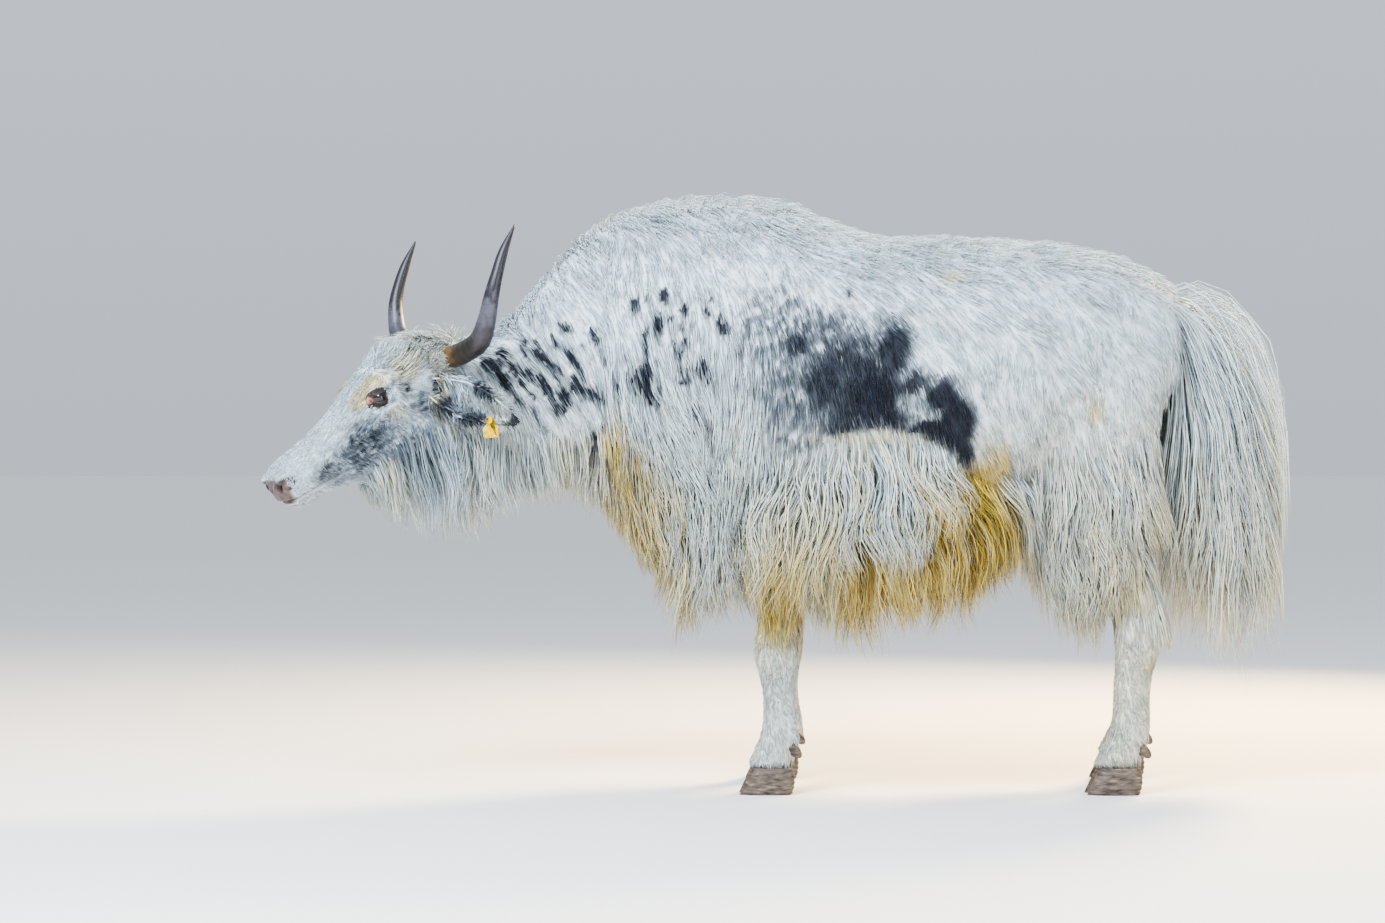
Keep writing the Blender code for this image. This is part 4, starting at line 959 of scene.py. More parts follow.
# %% The markings of the body and head
def markings(points, of_head=False, jitter=0.0):
    """Dark, gold, grey and bare at each place, each from 0 to 1. Jitter mixes hairs at a patch's edge."""
    x, y, z = points.T
    far = y > 0.03
    wobble = rough(points, 16, 3.0)
    fine = rough(points, 55, 9.0)
    combed = rough(points * np.array([1.0, 1.0, 0.30]), 120, 5.0)  # streaks that run down the side
    a = np.where(far, x * 0.94 + 0.04, x) + 0.016 * wobble + 0.008 * fine
    b = np.where(far, z + 0.015, z) + 0.016 * rough(points, 13, 21.0) + 0.008 * fine
    flank = ovals(FLANK, a, b, soft=1.0) - 0.32 * ovals(FLANK_LIGHT, a, b, soft=1.0)
    flank *= step(-0.012, 0.008, z - arch_at(x))
    mixed = (0.62 * combed + 0.25 * fine + 1.35 * jitter) * step(1.20, 0.62, flank)
    patch = step(0.34, 0.72, flank + mixed) * step(0.02, 0.24, flank)
    patch *= 0.66 + 0.34 * step(0.62, 0.98, flank)  # softer where white hair is mixed in
    a = np.where(far, x - 0.03, x) + 0.004 * fine
    b = np.where(far, z + 0.02, z) + 0.005 * rough(points, 50, 15.0)
    side = np.abs(y) > 0.04
    dark = ovals(SHOULDER_SPOTS, a, b, soft=0.9, grow=1.40) * side
    dark = np.maximum(dark, ovals(NECK_SPOTS, a, b, soft=0.9, lean=0.45, grow=1.30) * side)
    leaning = np.stack([a + 0.45 * b, 0.3 * y, b], 1)
    dashes = step(-0.64, -0.58, a) * step(-0.38, -0.42, a) * step(0.84, 0.89, b) * step(1.07, 1.02, b)
    dark = np.maximum(dark, 0.85 * spotted(leaning, 0.034, 0.34, 7.0) * dashes * side)
    dashes = step(-0.37, -0.33, a) * step(-0.08, -0.14, a) * step(0.86, 0.92, b) * step(1.14, 1.08, b)
    dark = np.maximum(dark, 0.80 * spotted(np.stack([a, 0.3 * y, b], 1), 0.042, 0.24, 11.0) * dashes * side)
    dark = np.maximum(patch, step(0.20, 0.66, dark + 0.5 * jitter * step(0.0, 0.3, dark)))
    # Gold: partly real stain and partly painted glow of backlight through the hair, growing towards the
    # bottom, the rear and the tail.
    gold = ovals(GOLD, x + 0.02 * wobble, z + 0.02 * fine, soft=0.9)
    low = step(0.62, 0.38, z) * step(0.20, 0.30, z)
    gold = np.maximum(gold, 0.60 * low * (0.6 + 0.8 * wobble))
    rear = step(0.50, 0.62, x)
    gold = np.maximum(gold, 0.03 + 0.05 * wobble + (0.19 + 0.13 * rear) * step(1.02, 0.60, z))
    gold = np.maximum(gold, 0.45 * step(1.04, 1.13, x) * step(0.80, 0.55, z))
    gold = np.maximum(gold, (0.44 + 0.3 * wobble) * step(0.86, 0.92, x) * step(0.80, 0.46, z))
    grey = np.clip(0.16 * wobble + 0.08, 0, 1)
    grey = np.maximum(grey, 0.70 * step(0.10, 0.62, flank) * step(-0.9, 0.5, combed + fine))
    bare = np.zeros(len(x))
    if of_head:
        f, s, u = head_place(points).T
        outside = step(0.030, 0.060, np.abs(s))
        streaks = rough(points @ HEAD_AXES.T * np.array([0.45, 1.0, 1.0]), 150, 5.0)
        f2, u2 = f + 0.008 * wobble + 0.004 * fine, u + 0.008 * fine
        dark = ovals(FACE_DARK, f2, u2, soft=0.9) * outside
        dark = np.clip(dark * (1.0 + 1.0 * streaks + 1.4 * jitter), 0, 1)
        specks = spotted(points, 0.030, 0.24, 2.0) * step(0.20, 0.12, f) * step(-0.06, 0.0, u)
        dark = np.maximum(dark, 0.65 * specks)
        outside = step(0.010, 0.035, np.abs(s))
        combed_grey = 0.80 + 0.8 * streaks + 1.2 * jitter
        grey = np.maximum(grey, ovals(FACE_GREY, f2, u2, soft=0.9) * outside * combed_grey)
        warm = ovals(FACE_GOLD, f2, u2, soft=1.0) * step(0.025, 0.060, np.abs(s))
        gold = np.maximum(0.05 + 0.08 * wobble, warm)
        gold = np.maximum(gold, 0.30 * step(0.10, 0.05, f) * (0.7 + 0.6 * wobble))
        bare = step(0.478, 0.492, f) * step(-0.104, -0.090, u) * (1 - step(-0.040, -0.028, u))
        bare = np.maximum(bare, step(1.7, 1.2, np.hypot((f - 0.494) / 0.022, (u + 0.046) / 0.012)))
    return dark, np.clip(gold, 0, 1), np.clip(grey, 0, 1), bare


print("dark on the flank:", markings(np.array([[0.214, -0.34, 0.88]]))[0].round(2))


# %% The markings of the ears
def ear_marks(points, side, jitter=0.0):
    """Dark along the ear's lower edge, at its upper edge and its tip, and tan in the cup."""
    root, along, across, front, length = ear_axes(side)
    at = points - np.array(root)
    share = at @ np.array(along) / length
    down = at @ np.array(across if across.z < 0 else -across) / (EAR_WIDTH / 2)
    fine = rough(points, 90, 9.0) * 0.2 + jitter * 0.4
    lower = step(0.02, 0.36, down + fine) * step(0.04, 0.12, share) * step(0.76, 0.66, share)
    lower *= 1 - 0.8 * step(0.30, 0.36, share) * step(0.46, 0.40, share)
    upper = step(-0.40, -0.62, down + fine) * step(0.36, 0.44, share) * step(0.74, 0.66, share)
    tip = step(0.86, 0.93, share + 0.1 * fine)
    dark = np.clip(lower + upper + tip, 0, 0.95)
    gold = 0.22 * step(0.62, 0.72, share) + 0.45 * step(0.20, 0.04, share)
    grey = np.full(len(points), 0.08)
    return dark, np.clip(gold, 0, 1), grey, np.zeros(len(points))


print("dark at an ear's tip:", ear_marks(np.array([on_ear(1, 0.0, 0.95)]), 1)[0].round(2))

# %% [markdown]
# ## The lie of the coat
# Three functions know the coat: at any place on the skin they say how long the hair is, how wide a tuft,
# which way it lies and how far it stands up. Hair on the back is short and lies back, the hair of the
# shoulder hangs, the skirt reaches its hem, and the face has only a close nap.

# %% The coat of the body
def unit(vectors):
    return vectors / np.maximum(np.linalg.norm(vectors, axis=-1), 1e-9)[..., None]


def mix(low, high, share):
    return low + (high - low) * share


def hem_at(x, table=HEM):
    return np.interp(x, [p[0] for p in table], [p[1] for p in table])


def body_coat(points, normals):
    """Length, width, way, lift in degrees and wave of the hair at each place, and how many layers it has."""
    x, y, z = points.T
    side = np.sign(y)
    rises = normals[:, 2]
    neck = step(-0.385, -0.430, x)
    tail = ((x > 0.885) & (z > 0.50) & (np.abs(y) < 0.085)) * 1.0
    thigh_line = 0.490 + (z - 0.60) * 0.62
    hind = step(-0.03, 0.06, x - thigh_line) * (np.abs(y) > 0.03) * step(1.00, 0.86, z) * (x > 0.44)
    leg = (z < 0.56) * 1.0
    skirt = step(0.018, -0.012, z - arch_at(x)) * (x > -0.117) * (x < 0.60) * (1 - leg) * (1 - hind)
    under = (x > 0.40) * (x < 0.60) * (z < 0.72) * (rises < -0.2) * (1 - leg) * (1 - hind)
    skirt = np.maximum(skirt, under)
    cape = step(0.02, -0.10, x) * step(1.16, 0.80, z) * (1 - neck) * (1 - skirt)
    brisket = step(-0.06, -0.14, x) * step(0.80, 0.68, z) * (1 - neck) * (1 - leg)
    hump = step(0.14, 0.0, x) * step(1.20, 1.28, z) * (1 - neck)
    throat = neck * np.maximum(step(0.84, 0.79, z), step(-0.3, -0.7, rises))
    behind = hind * step(0.0, 0.5, normals[:, 0]) * step(0.34, 0.40, z) * step(0.74, 0.64, z)
    shank = step(0.40, 0.33, z)
    feather = shank * step(0.0, 0.6, normals[:, 0]) * step(0.16, 0.12, z)
    drop = z - hem_at(x)
    skirt_drop = z - mix(hem_at(x), hem_at(x, WHITE_HEM), step(0.64, 0.72, z))
    thigh_drop = z - hem_at(x + 0.02, THIGH_HEM)

    length = mix(0.040, 0.160, cape ** 1.4)
    for reach, where in (
        (np.clip(drop * 1.22, 0.10, 0.34), brisket),
        (0.066, hump),
        (0.052, step(0.4, 0.9, rises) * (1 - hump) * (1 - neck) * (1 - leg)),
        (np.clip(skirt_drop * 1.20, 0.14, 0.44), skirt),
        (0.054, neck),
        (np.clip(drop * 1.28, 0.05, 0.27), throat),
        (np.clip(thigh_drop * 1.08, 0.055, 0.24), hind * step(0.84, 0.74, z)),
        (0.095, behind),
    ):
        length = mix(length, reach, where)
    length = np.where((leg > 0) & (x < 0.45), 0.052, length)
    length = mix(mix(length, 0.016, shank), 0.036, feather)
    fan = np.clip((x - np.interp(z, [0.66, 0.82, 1.005, 1.08], [1.025, 1.010, 0.950, 0.82])) / 0.06, -1, 1)
    fall = np.interp(fan, [-1.0, -0.4, 0.2, 0.7, 1.0], [0.40, 0.31, 0.275, 0.36, 0.42])
    length = mix(length, np.clip((z - fall) * 1.04, 0.25, 0.58), tail)
    hanging = np.maximum(skirt, tail)
    length *= 1 + mix(0.20, 0.08, hanging) * rough(points, 9, 5.0)

    level = np.clip(rises, 0, 1)
    way = np.stack([mix(0.10, 0.30, step(0.0, 0.25, x)), side * 0.35 * level, -1.0 + 0.0 * x], 1)
    way[:, 0] += 0.70 * level + 0.45 * neck * step(0.80, 0.88, z)
    spread = np.interp(x, [-0.10, 0.04, 0.12, 0.22, 0.32, 0.46], [0.05, -0.42, -0.30, 0.0, 0.30, 0.42])
    for aft, where in (
        (0.42 * step(-0.05, -0.30, x) * step(0.66, 0.86, z) + 0.06, np.maximum(cape, brisket)),
        (spread * step(0.62, 0.74, z) + 0.10, skirt),
        (np.interp(x - thigh_line, [0.0, 0.10, 0.25], [0.02, 0.22, 0.30]), hind),
        (0.06 + 0.26 * fan, tail),
    ):
        way[:, 0] = mix(way[:, 0], aft, where)
    way[:, 1] += side * 0.9 * skirt * step(0.60, 0.74, z)  # it starts outward over the arch, and then falls
    way[:, 1] = mix(way[:, 1], 0.16 * normals[:, 1], tail)
    way[:, 0] += mix(0.24, 0.10, hanging) * rough(points, 7, 31.0)
    way[:, 1] += 0.08 * rough(points, 8, 41.0)
    swirl = step(0.28, 0.20, np.hypot(x - 0.62, z - 1.12)) * step(0.02, 0.10, np.abs(y))
    way[:, 0] += 1.2 * swirl * rough(points, 11, 51.0)
    lift = mix(16.0, 9.0, np.clip(length / 0.15, 0, 1))
    lift = mix(lift, 44.0, np.maximum(hump, step(0.35, 0.8, rises)))
    lift = mix(lift, 24.0, skirt * step(-0.10, 0.0, z - arch_at(x)))
    lift = mix(lift, 11.0, shank)
    wave = np.clip(length * 0.055, 0.0012, 0.014)
    layers = np.interp(length, [0.02, 0.045, 0.06, 0.10, 0.16, 0.30], [2.4, 1.9, 2.8, 5.0, 7.8, 16.0])
    layers = mix(layers, 27.0, tail)
    belly = step(-0.60, -0.90, rises) * (1 - leg) * (1 - neck) * step(0.46, 0.40, x) * step(-0.12, -0.02, x)
    layers *= mix(1.0, 0.45, belly)
    width = np.interp(length, [0.016, 0.04, 0.10, 0.20, 0.40], [0.0024, 0.0031, 0.0035, 0.0038, 0.0042])
    return length, width, unit(way), lift, wave, layers


shoulder = body_coat(np.array([[-0.2, -0.24, 1.0]]), np.array([[0.0, -1.0, 0.0]]))
print("coat at the shoulder:", [round(float(np.ravel(v)[0]), 3) for v in shoulder])


# %% The coat of the head
def head_coat(points, normals):
    x, _, z = points.T
    f, s, u = head_place(points).T
    near = np.abs(s)
    flat_f, flat_s, flat_u = (normals @ HEAD_AXES.T).T
    length = mix(0.0085, 0.015, step(0.30, 0.16, f))
    brow = step(0.185, 0.13, f) * step(0.1, 0.5, flat_u)
    length = mix(length, 0.054, brow)
    poll = step(0.085, 0.035, f) * step(-0.07, -0.03, u)
    tousled = 0.9 * brow + 0.5 * poll
    length = mix(length, 0.082, poll)
    rear = step(0.09, 0.02, f)
    length = np.maximum(length, mix(0.015, 0.050, rear))
    cheek = step(-0.080, -0.150, u) * step(0.31, 0.22, f)
    length = np.maximum(length, 0.026 * cheek)
    jaw = step(0.1, -0.5, flat_u) * step(0.36, 0.27, f) * step(-0.10, -0.15, u)
    length = mix(length, np.clip((z - hem_at(x)) * 1.22, 0.03, 0.20), jaw)
    chin = step(-0.3, -0.8, flat_u) * step(0.34, 0.37, f) * step(0.47, 0.44, f)
    length = np.maximum(length, 0.020 * chin)
    length = mix(length, 0.0055, step(0.42, 0.46, f) * (1 - chin))
    length *= 1 + 0.18 * rough(points, 20, 5.0)

    forward = step(0.13, 0.20, f)
    way_f = mix(-0.9, 1.0, forward) * step(-0.2, 0.4, flat_u) - 0.75 * step(0.3, -0.3, flat_u)
    way = np.outer(way_f, HEAD_AXES[0]) + np.outer(np.sign(s) * 0.35 * np.clip(flat_u, 0, 1), HEAD_AXES[1])
    way[:, 2] -= 0.55 * step(0.4, -0.2, flat_u)
    way += np.outer(1.9 * poll, HEAD_AXES[0] + 0.5 * HEAD_AXES[2]) + np.outer(poll * s * 9, HEAD_AXES[1])
    way[:, 2] -= 0.6 * cheek + 2.2 * jaw
    twist = rough(points, 26, 3.0)
    way[:, 0] += tousled * twist + 0.25 * cheek * twist
    way[:, 1] += tousled * rough(points, 26, 8.0)
    horn_seat = np.sqrt((f - 0.014) ** 2 + (u + 0.046) ** 2)
    round_horn = fade(np.maximum(horn_seat - 0.02, 0), 0.028) * step(0.045, 0.065, near)
    length = mix(length, 0.026, round_horn)
    way = way * (1 - 0.8 * round_horn)[:, None] + np.outer(1.6 * round_horn * np.sign(s), HEAD_AXES[1])
    lift = mix(8.0, 52.0, np.maximum(brow * 0.9, poll * (1 - round_horn)))
    lift = mix(lift, 16.0, np.maximum(jaw, rear))
    wave = np.clip(length * 0.05, 0.0003, 0.005) + 0.005 * brow + 0.006 * poll
    layers = np.interp(length, [0.008, 0.015, 0.030, 0.060, 0.10], [2.2, 2.6, 3.3, 5.6, 7.6])
    width = np.interp(length, [0.005, 0.015, 0.03, 0.06, 0.11], [0.0015, 0.0019, 0.0024, 0.0029, 0.0034])
    lean = (u - EYE_AT[2]) - 0.34 * (f - EYE_AT[0])
    slit = np.sqrt(((f - EYE_AT[0] + 0.002) / 0.0275) ** 2 + (lean / np.where(lean > 0, 0.0140, 0.0125)) ** 2)
    hole = np.sqrt(((f - 0.496) / 0.024) ** 2 + ((near - 0.038) / 0.016) ** 2 + ((u + 0.047) / 0.012) ** 2)
    layers = np.where((slit < 1) & (near > 0.05), 0.0, layers)
    layers = np.where((hole < 1) | ((f > 0.484) & (u > -0.100) & (u < -0.026)), 0.0, layers)
    lip_u = mix(MOUTH_HEIGHT[0], MOUTH_HEIGHT[1], np.clip((f - MOUTH_CORNER) / 0.155, 0, 1))
    layers = np.where((np.abs(u - lip_u) < 0.005) & (f > MOUTH_CORNER), 0.0, layers)
    layers = np.where((horn_seat < 0.0245) & (near > 0.055), 0.0, layers * (1 + 0.6 * round_horn))
    return length, width, unit(way), lift, wave, layers


# %% The coat of the ears
def ear_coat(side):
    root, along, across, front, length = ear_axes(side)

    def coat(points, normals):
        share = (points - np.array(root)) @ np.array(along) / length
        inside = (normals @ np.array(front)) > 0.15
        edge = np.abs((points - np.array(root)) @ np.array(across)) / (EAR_WIDTH / 2)
        rim = np.maximum(step(0.55, 0.85, edge), step(0.42, 0.25, share))
        shaggy = step(0.45, 0.10, share)
        hair = mix(np.where(inside, 0.030, 0.018), 0.036, rim) + 0.016 * shaggy
        way = np.tile(np.array(along), (len(points), 1)) * 0.9
        way += np.outer(np.where(inside, 0.5, 0.1), np.array(front))
        way[:, 2] -= 0.75
        layers = np.where(inside, 2.4, 2.8) * (1 + 1.4 * rim) * step(-0.08, 0.02, share)
        lift = np.where(inside, 26.0, 14.0) + 26.0 * rim
        return hair, 0.0015 + 0.06 * hair, unit(way), lift, hair * 0.06, layers

    return coat


print("hair on an ear:", ear_coat(1)(np.array([on_ear(1, 0.0, 0.5)]), np.zeros((1, 3)))[0].round(3))

# %% [markdown]
# ## Growing the tufts
# A tuft is a thin three-sided blade that tapers to a point. Its root is drawn at random on the skin,
# more often where the coat has more layers. It then grows step by step along the lie of the coat, sags
# as it gets longer, and is held off the skin, so that the hair lies over the body like real hair. Tufts
# near one another lean together into locks. All this is done on whole arrays at once.

# %% Draw the roots
dice = np.random.default_rng(SEED)


def roots_on(obj, coat):
    """Roots at random on an object's surface, as many as the coat's layers need."""
    mesh = obj.data
    mesh.calc_loop_triangles()
    corners = read(mesh.vertices, "co")
    corner_normals = read(mesh.vertices, "normal")
    index = np.empty(len(mesh.loop_triangles) * 3, np.int32)
    mesh.loop_triangles.foreach_get("vertices", index)
    index = index.reshape(-1, 3)
    a, b, c = (corners[index[:, k]] for k in range(3))
    area = np.linalg.norm(np.cross(b - a, c - a), axis=1) / 2
    middle = (a + b + c) / 3
    facing = unit(corner_normals[index].sum(1))
    length, width, _, _, _, layers = coat(middle, facing)
    want = layers * area / np.maximum(length * width, 1e-6)
    count = int(want.sum())
    chosen = np.searchsorted(np.cumsum(want), dice.random(count) * want.sum())
    chosen = np.clip(chosen, 0, len(want) - 1)
    p, q = dice.random(count), dice.random(count)
    over = p + q > 1
    p[over], q[over] = 1 - p[over], 1 - q[over]
    blend = np.stack([1 - p - q, p, q], 1)[:, :, None]
    at = (corners[index[chosen]] * blend).sum(1)
    out = unit((corner_normals[index[chosen]] * blend).sum(1))
    return at, out


# %% Grow them
def grow(roots, out, coat, tree, steps):
    """The paths of tufts, as an array of tufts, points and places, with each one's width."""
    length, width, way, lift, wave, _ = coat(roots, out)
    count = len(roots)
    length = length * dice.uniform(0.72, 1.12, count)
    angle = np.radians(lift * dice.uniform(0.5, 1.4, count))[:, None]
    loose = np.clip((length - 0.03) / 0.05, 0, 1)[:, None]  # long hair may hang clear of the skin
    aside = unit(np.cross(way, out))
    swing = 0.22 * np.clip((length - 0.07) / 0.15, 0, 1) * dice.uniform(0.5, 1.3, count)
    sway = 5.0 * rough(roots, 7, 61.0) + dice.normal(0, 0.6, count)

    def along_skin(facing, close=1.0):
        into = (way * facing).sum(1)[:, None]
        return way - facing * np.where(into > 0, into * (1 - loose), into) * close

    along = unit(along_skin(out))
    heading = unit(along * np.cos(angle) + out * np.sin(angle))
    layer = dice.random(count) * np.clip(length * 0.16, 0.002, 0.020)
    place = roots.copy()
    path = [roots - out * np.clip(length * 0.05, 0.0008, 0.004)[:, None]]
    sag = np.clip(length / 0.12, 0, 1)[:, None] * np.array([[0.0, 0.0, -1.0]])
    for k in range(1, steps + 1):
        t = k / steps
        place = place + heading * (length / steps)[:, None]
        found = [tree.find_nearest(Vector(p)) for p in place]
        near = np.array([hit[0] for hit in found])
        facing = np.array([hit[1] for hit in found])
        clear = ((place - near) * facing).sum(1)
        need = 0.0012 + layer * min(t * 1.6, 1.0) - clear
        place = place + facing * np.maximum(need, 0)[:, None]
        close = np.exp(-np.maximum(clear, 0) / 0.03)[:, None]
        bend = aside * (swing * np.sin(place[:, 2] * 33 + sway))[:, None]  # locks swing every 19 cm
        heading = unit(heading * 0.55 + along_skin(facing, close) * 0.45 + sag * 0.35 * t + bend)
        path.append(place.copy())
    path = np.stack(path, 1)

    # Tufts lean together into locks, round one tuft in so many, and wave as a lock does.
    t = np.linspace(0, 1, steps + 1)
    leaders = dice.choice(count, max(count // 10, 1), replace=False)
    tree_of_leaders = kdtree.KDTree(len(leaders))
    for k, leader in enumerate(leaders):
        tree_of_leaders.insert(Vector(roots[leader]), k)
    tree_of_leaders.balance()
    own = leaders[[tree_of_leaders.find(Vector(p))[1] for p in roots]]
    pull = (np.clip(length / 0.10, 0.15, 1.0) * 0.55)[:, None] * t[None, :] ** 1.3
    pull *= np.linalg.norm(roots - roots[own], axis=1)[:, None] < 0.045
    path = path * (1 - pull[:, :, None]) + path[own] * pull[:, :, None]
    phase = roots @ np.array([23.0, 9.0, 17.0]) + dice.uniform(-1.0, 1.0, count)
    turning = t[None, :] * np.clip(length / 0.06, 1.0, 4.5)[:, None] * 2.2
    bend = np.sin(phase[:, None] + turning) - np.sin(phase)[:, None]
    path += aside[:, None, :] * (wave[:, None] * bend * t[None, :] ** 0.7)[:, :, None]
    for axis, low, high in ((0, -1.16, 1.14), (1, -0.345, 0.345)):  # the frame's own reach
        over = np.maximum(path[:, :, axis] - high, 0)
        under = np.maximum(low - path[:, :, axis], 0)
        path[:, :, axis] += (under - over) * 0.82
    return path, width * dice.uniform(0.75, 1.25, count), out


# %% A mesh of tapering blades
def blades(name, path, width, out, data, ends, uv):
    """One mesh of three-sided tapering blades along the paths. Ends are the markings of their tips."""
    count, points, _ = path.shape
    steps = points - 1
    t = np.linspace(0, 1, points)
    tangent = unit(np.gradient(path, axis=1))
    side = unit(np.cross(tangent, out[:, None, :]))
    up = np.cross(side, tangent)
    roll = dice.uniform(-0.6, 0.6, count)[:, None, None]
    side, up = side * np.cos(roll) + up * np.sin(roll), up * np.cos(roll) - side * np.sin(roll)
    taper = np.minimum(0.55 + t / 0.25 * 0.45, 1.0) * (1 - t ** 1.8) + 0.02
    half = (width[:, None] * taper[None, :] / 2)[:, :, None]
    left, right, ridge = path - side * half, path + side * half, path + up * half * 0.75
    body_rings = np.stack([left, ridge, right], 2)[:, :-1].reshape(count, steps * 3, 3)
    verts = np.concatenate([body_rings, path[:, -1:, :]], 1)
    each = steps * 3 + 1
    quads = np.array([
        (3 * k + j, 3 * k + (j + 1) % 3, 3 * k + 3 + (j + 1) % 3, 3 * k + 3 + j)
        for k in range(steps - 1) for j in range(3)
    ], np.int32).reshape(-1, 4)
    last = 3 * (steps - 1)
    tips = np.array([(last + j, last + (j + 1) % 3, each - 1) for j in range(3)] + [(2, 1, 0)], np.int32)
    start = np.arange(count, dtype=np.int32)[:, None, None] * each
    corners = np.concatenate([(quads[None] + start).ravel(), (tips[None] + start).ravel()])
    sizes = np.repeat(np.array([4, 3], np.int32), [count * len(quads), count * len(tips)])
    mesh = bpy.data.meshes.new(name)
    mesh.vertices.add(count * each)
    mesh.vertices.foreach_set("co", verts.astype(np.float32).ravel())
    mesh.loops.add(len(corners))
    mesh.loops.foreach_set("vertex_index", corners)
    mesh.polygons.add(len(sizes))
    mesh.polygons.foreach_set("loop_start", np.concatenate([[0], np.cumsum(sizes)[:-1]]).astype(np.int32))
    mesh.update(calc_edges=True)
    mesh.shade_smooth()

    shares = np.concatenate([np.repeat(t[:-1], 3), [1.0]])
    across = np.tile(np.concatenate([np.tile([0.0, 0.5, 1.0], steps), [0.5]]), count)
    number = np.repeat(dice.random(count), each)
    along = np.tile(shares, count)
    data = np.repeat(data, each, axis=0)
    toward_tip = along[:, None] ** np.array([2.0, 1.2, 1.5])
    data[:, :3] = mix(data[:, :3], np.repeat(ends, each, axis=0), toward_tip)
    paint(mesh, data, along, across, number)
    patch_u = np.concatenate([np.tile([-0.0012, 0.0, 0.0012], steps), [0.0]])
    patch = np.stack([patch_u, shares * 0.003 - 0.0015], 1)
    spread = (uv[:, None, :] + patch[None]).reshape(-1, 2)
    layer = mesh.uv_layers.new(name="OFBake")
    layer.data.foreach_set("uv", spread[corners].astype(np.float32).ravel())
    mesh.materials.append(hair)
    return placed(name, mesh), count * (len(quads) * 2 + len(tips))


def paint(mesh, data, along, across, number):
    """Keeps the markings, the place on the tuft and the tuft's own number as two colour attributes."""
    dark, gold, grey, bare, tone = data.T
    for name, columns in (("Marks", (dark, gold, grey, tone)), ("Hair", (along, bare, across, number))):
        layer = mesh.attributes.new(name, "FLOAT_COLOR", "POINT")
        layer.data.foreach_set("color", np.stack(columns, 1).astype(np.float32).ravel())


# %% The pieces of the coat
MOST_TRIANGLES = 190000


def steps_for(length):
    """How many steps a tuft takes: long hair bends more than short hair."""
    return np.select([length < 0.047, length < 0.090, length < 0.15, length < 0.28], [2, 3, 4, 6], 9)


def coat_pieces(name, obj, coat, marks):
    """The tufts of one part, split into pieces under the most triangles."""
    tree = tree_of(obj)
    roots, out = roots_on(obj, coat)
    steps = steps_for(coat(roots, out)[0])
    made, total = [], 0
    for count in sorted(set(steps)):
        chosen = steps == count
        here, facing = roots[chosen], out[chosen]
        path, width, facing = grow(here, facing, coat, tree, count)
        tone = dice.random(len(here)) * 0.7 + 0.3 * (0.5 + 0.5 * rough(here, 14, 77.0))
        seen = here + (path[:, -1] - here) * 0.40  # a spot shows where its hairs lie, not at their roots
        if count >= 6:
            seen = here - np.array([0.0, 0.0, 0.030])
        stray = dice.uniform(-0.26, 0.26, len(here))
        data = np.stack([*marks(seen, stray), tone], 1)
        ends = np.stack(marks(path[:, -1], stray)[:3], 1)
        ends[:, 1] = np.maximum(0.90 * data[:, 1], ends[:, 1])
        uv = unwrap_at(here)
        each = 6 * (count - 1) + 4
        order = np.argsort(here[:, 0] + 10 * (here[:, 1] > 0))
        groups = np.array_split(order, math.ceil(len(order) * each / MOST_TRIANGLES))
        for k, group in enumerate(groups):
            piece = f"{name}_{int(count)}_{k + 1}"
            columns = (column[group] for column in (path, width, facing, data, ends, uv))
            blade, triangles = blades(piece, *columns)
            print("  ", piece, len(group), triangles)
            made.append(blade)
            total += triangles
    print(f"{name}: {len(roots)} tufts, {total} triangles in {len(made)} pieces")
    return made

# %% [markdown]
# ## Colours and a node helper
# Colours are written as the hex values that a paint program shows, and one function turns them to the
# linear values that a shader needs. One function adds any node with its settings and links.

# %% Helpers for materials
def linear(code):
    """A hex sRGB colour as linear RGBA."""
    parts = [int(code[k:k + 2], 16) / 255 for k in (1, 3, 5)]
    parts = [c / 12.92 if c <= 0.04045 else ((c + 0.055) / 1.055) ** 2.4 for c in parts]
    return (*parts, 1.0)


def add(material, kind, inputs=None, **settings):
    """A node of a kind. An input takes an output to link, a hex colour or a number, and so does a setting."""
    tree = material.node_tree
    node = tree.nodes.new("ShaderNode" + kind)
    for name, value in settings.items():
        if hasattr(node, name):
            setattr(node, name, value)
        else:
            node.inputs[name.replace("_", " ")].default_value = value
    for socket, source in (inputs or {}).items():
        if isinstance(source, bpy.types.NodeSocket):
            tree.links.new(source, node.inputs[socket])
        else:
            node.inputs[socket].default_value = linear(source) if isinstance(source, str) else source
    return node


def object_place(material):
    return add(material, "TexCoord").outputs["Object"]


def speckle(material, place, scale, detail, **more):
    """Noise at a place, with so many waves a metre."""
    return add(material, "TexNoise", {"Vector": place}, Scale=scale, Detail=detail, **more).outputs["Fac"]


def blend(material, share, one, two, kind="MIX"):
    """One colour over another by a share."""
    inputs = {"Fac": share, "Color1": one, "Color2": two}
    return add(material, "MixRGB", inputs, blend_type=kind).outputs["Color"]


def ramp(material, source, stops):
    """A colour ramp from stops of place and hex colour."""
    node = add(material, "ValToRGB", {"Fac": source})
    node.color_ramp.interpolation = "EASE"
    while len(node.color_ramp.elements) < len(stops):
        node.color_ramp.elements.new(0.5)
    for element, (place, code) in zip(node.color_ramp.elements, stops):
        element.position = place
        element.color = linear(code)
    return node.outputs["Color"]


def new_material(name, **settings):
    """A material, and the shader's sockets that are the same all over its surface."""
    material = bpy.data.materials.new(name)
    material.use_nodes = True
    shader = material.node_tree.nodes["Principled BSDF"]
    for key, value in settings.items():
        shader.inputs[key.replace("_", " ")].default_value = value
    return material, shader


def wear(material, shader, colour, height=None, distance=0.001, strength=1.0):
    """Links a shader's colour and its bump, whose distance is in metres."""
    tree = material.node_tree
    tree.links.new(colour, shader.inputs["Base Color"])
    if height:
        bump = add(material, "Bump", {"Height": height}, Strength=strength, Distance=distance)
        tree.links.new(bump.outputs["Normal"], shader.inputs["Normal"])


print("white hair", [round(c, 3) for c in linear("#e2f1f8")])

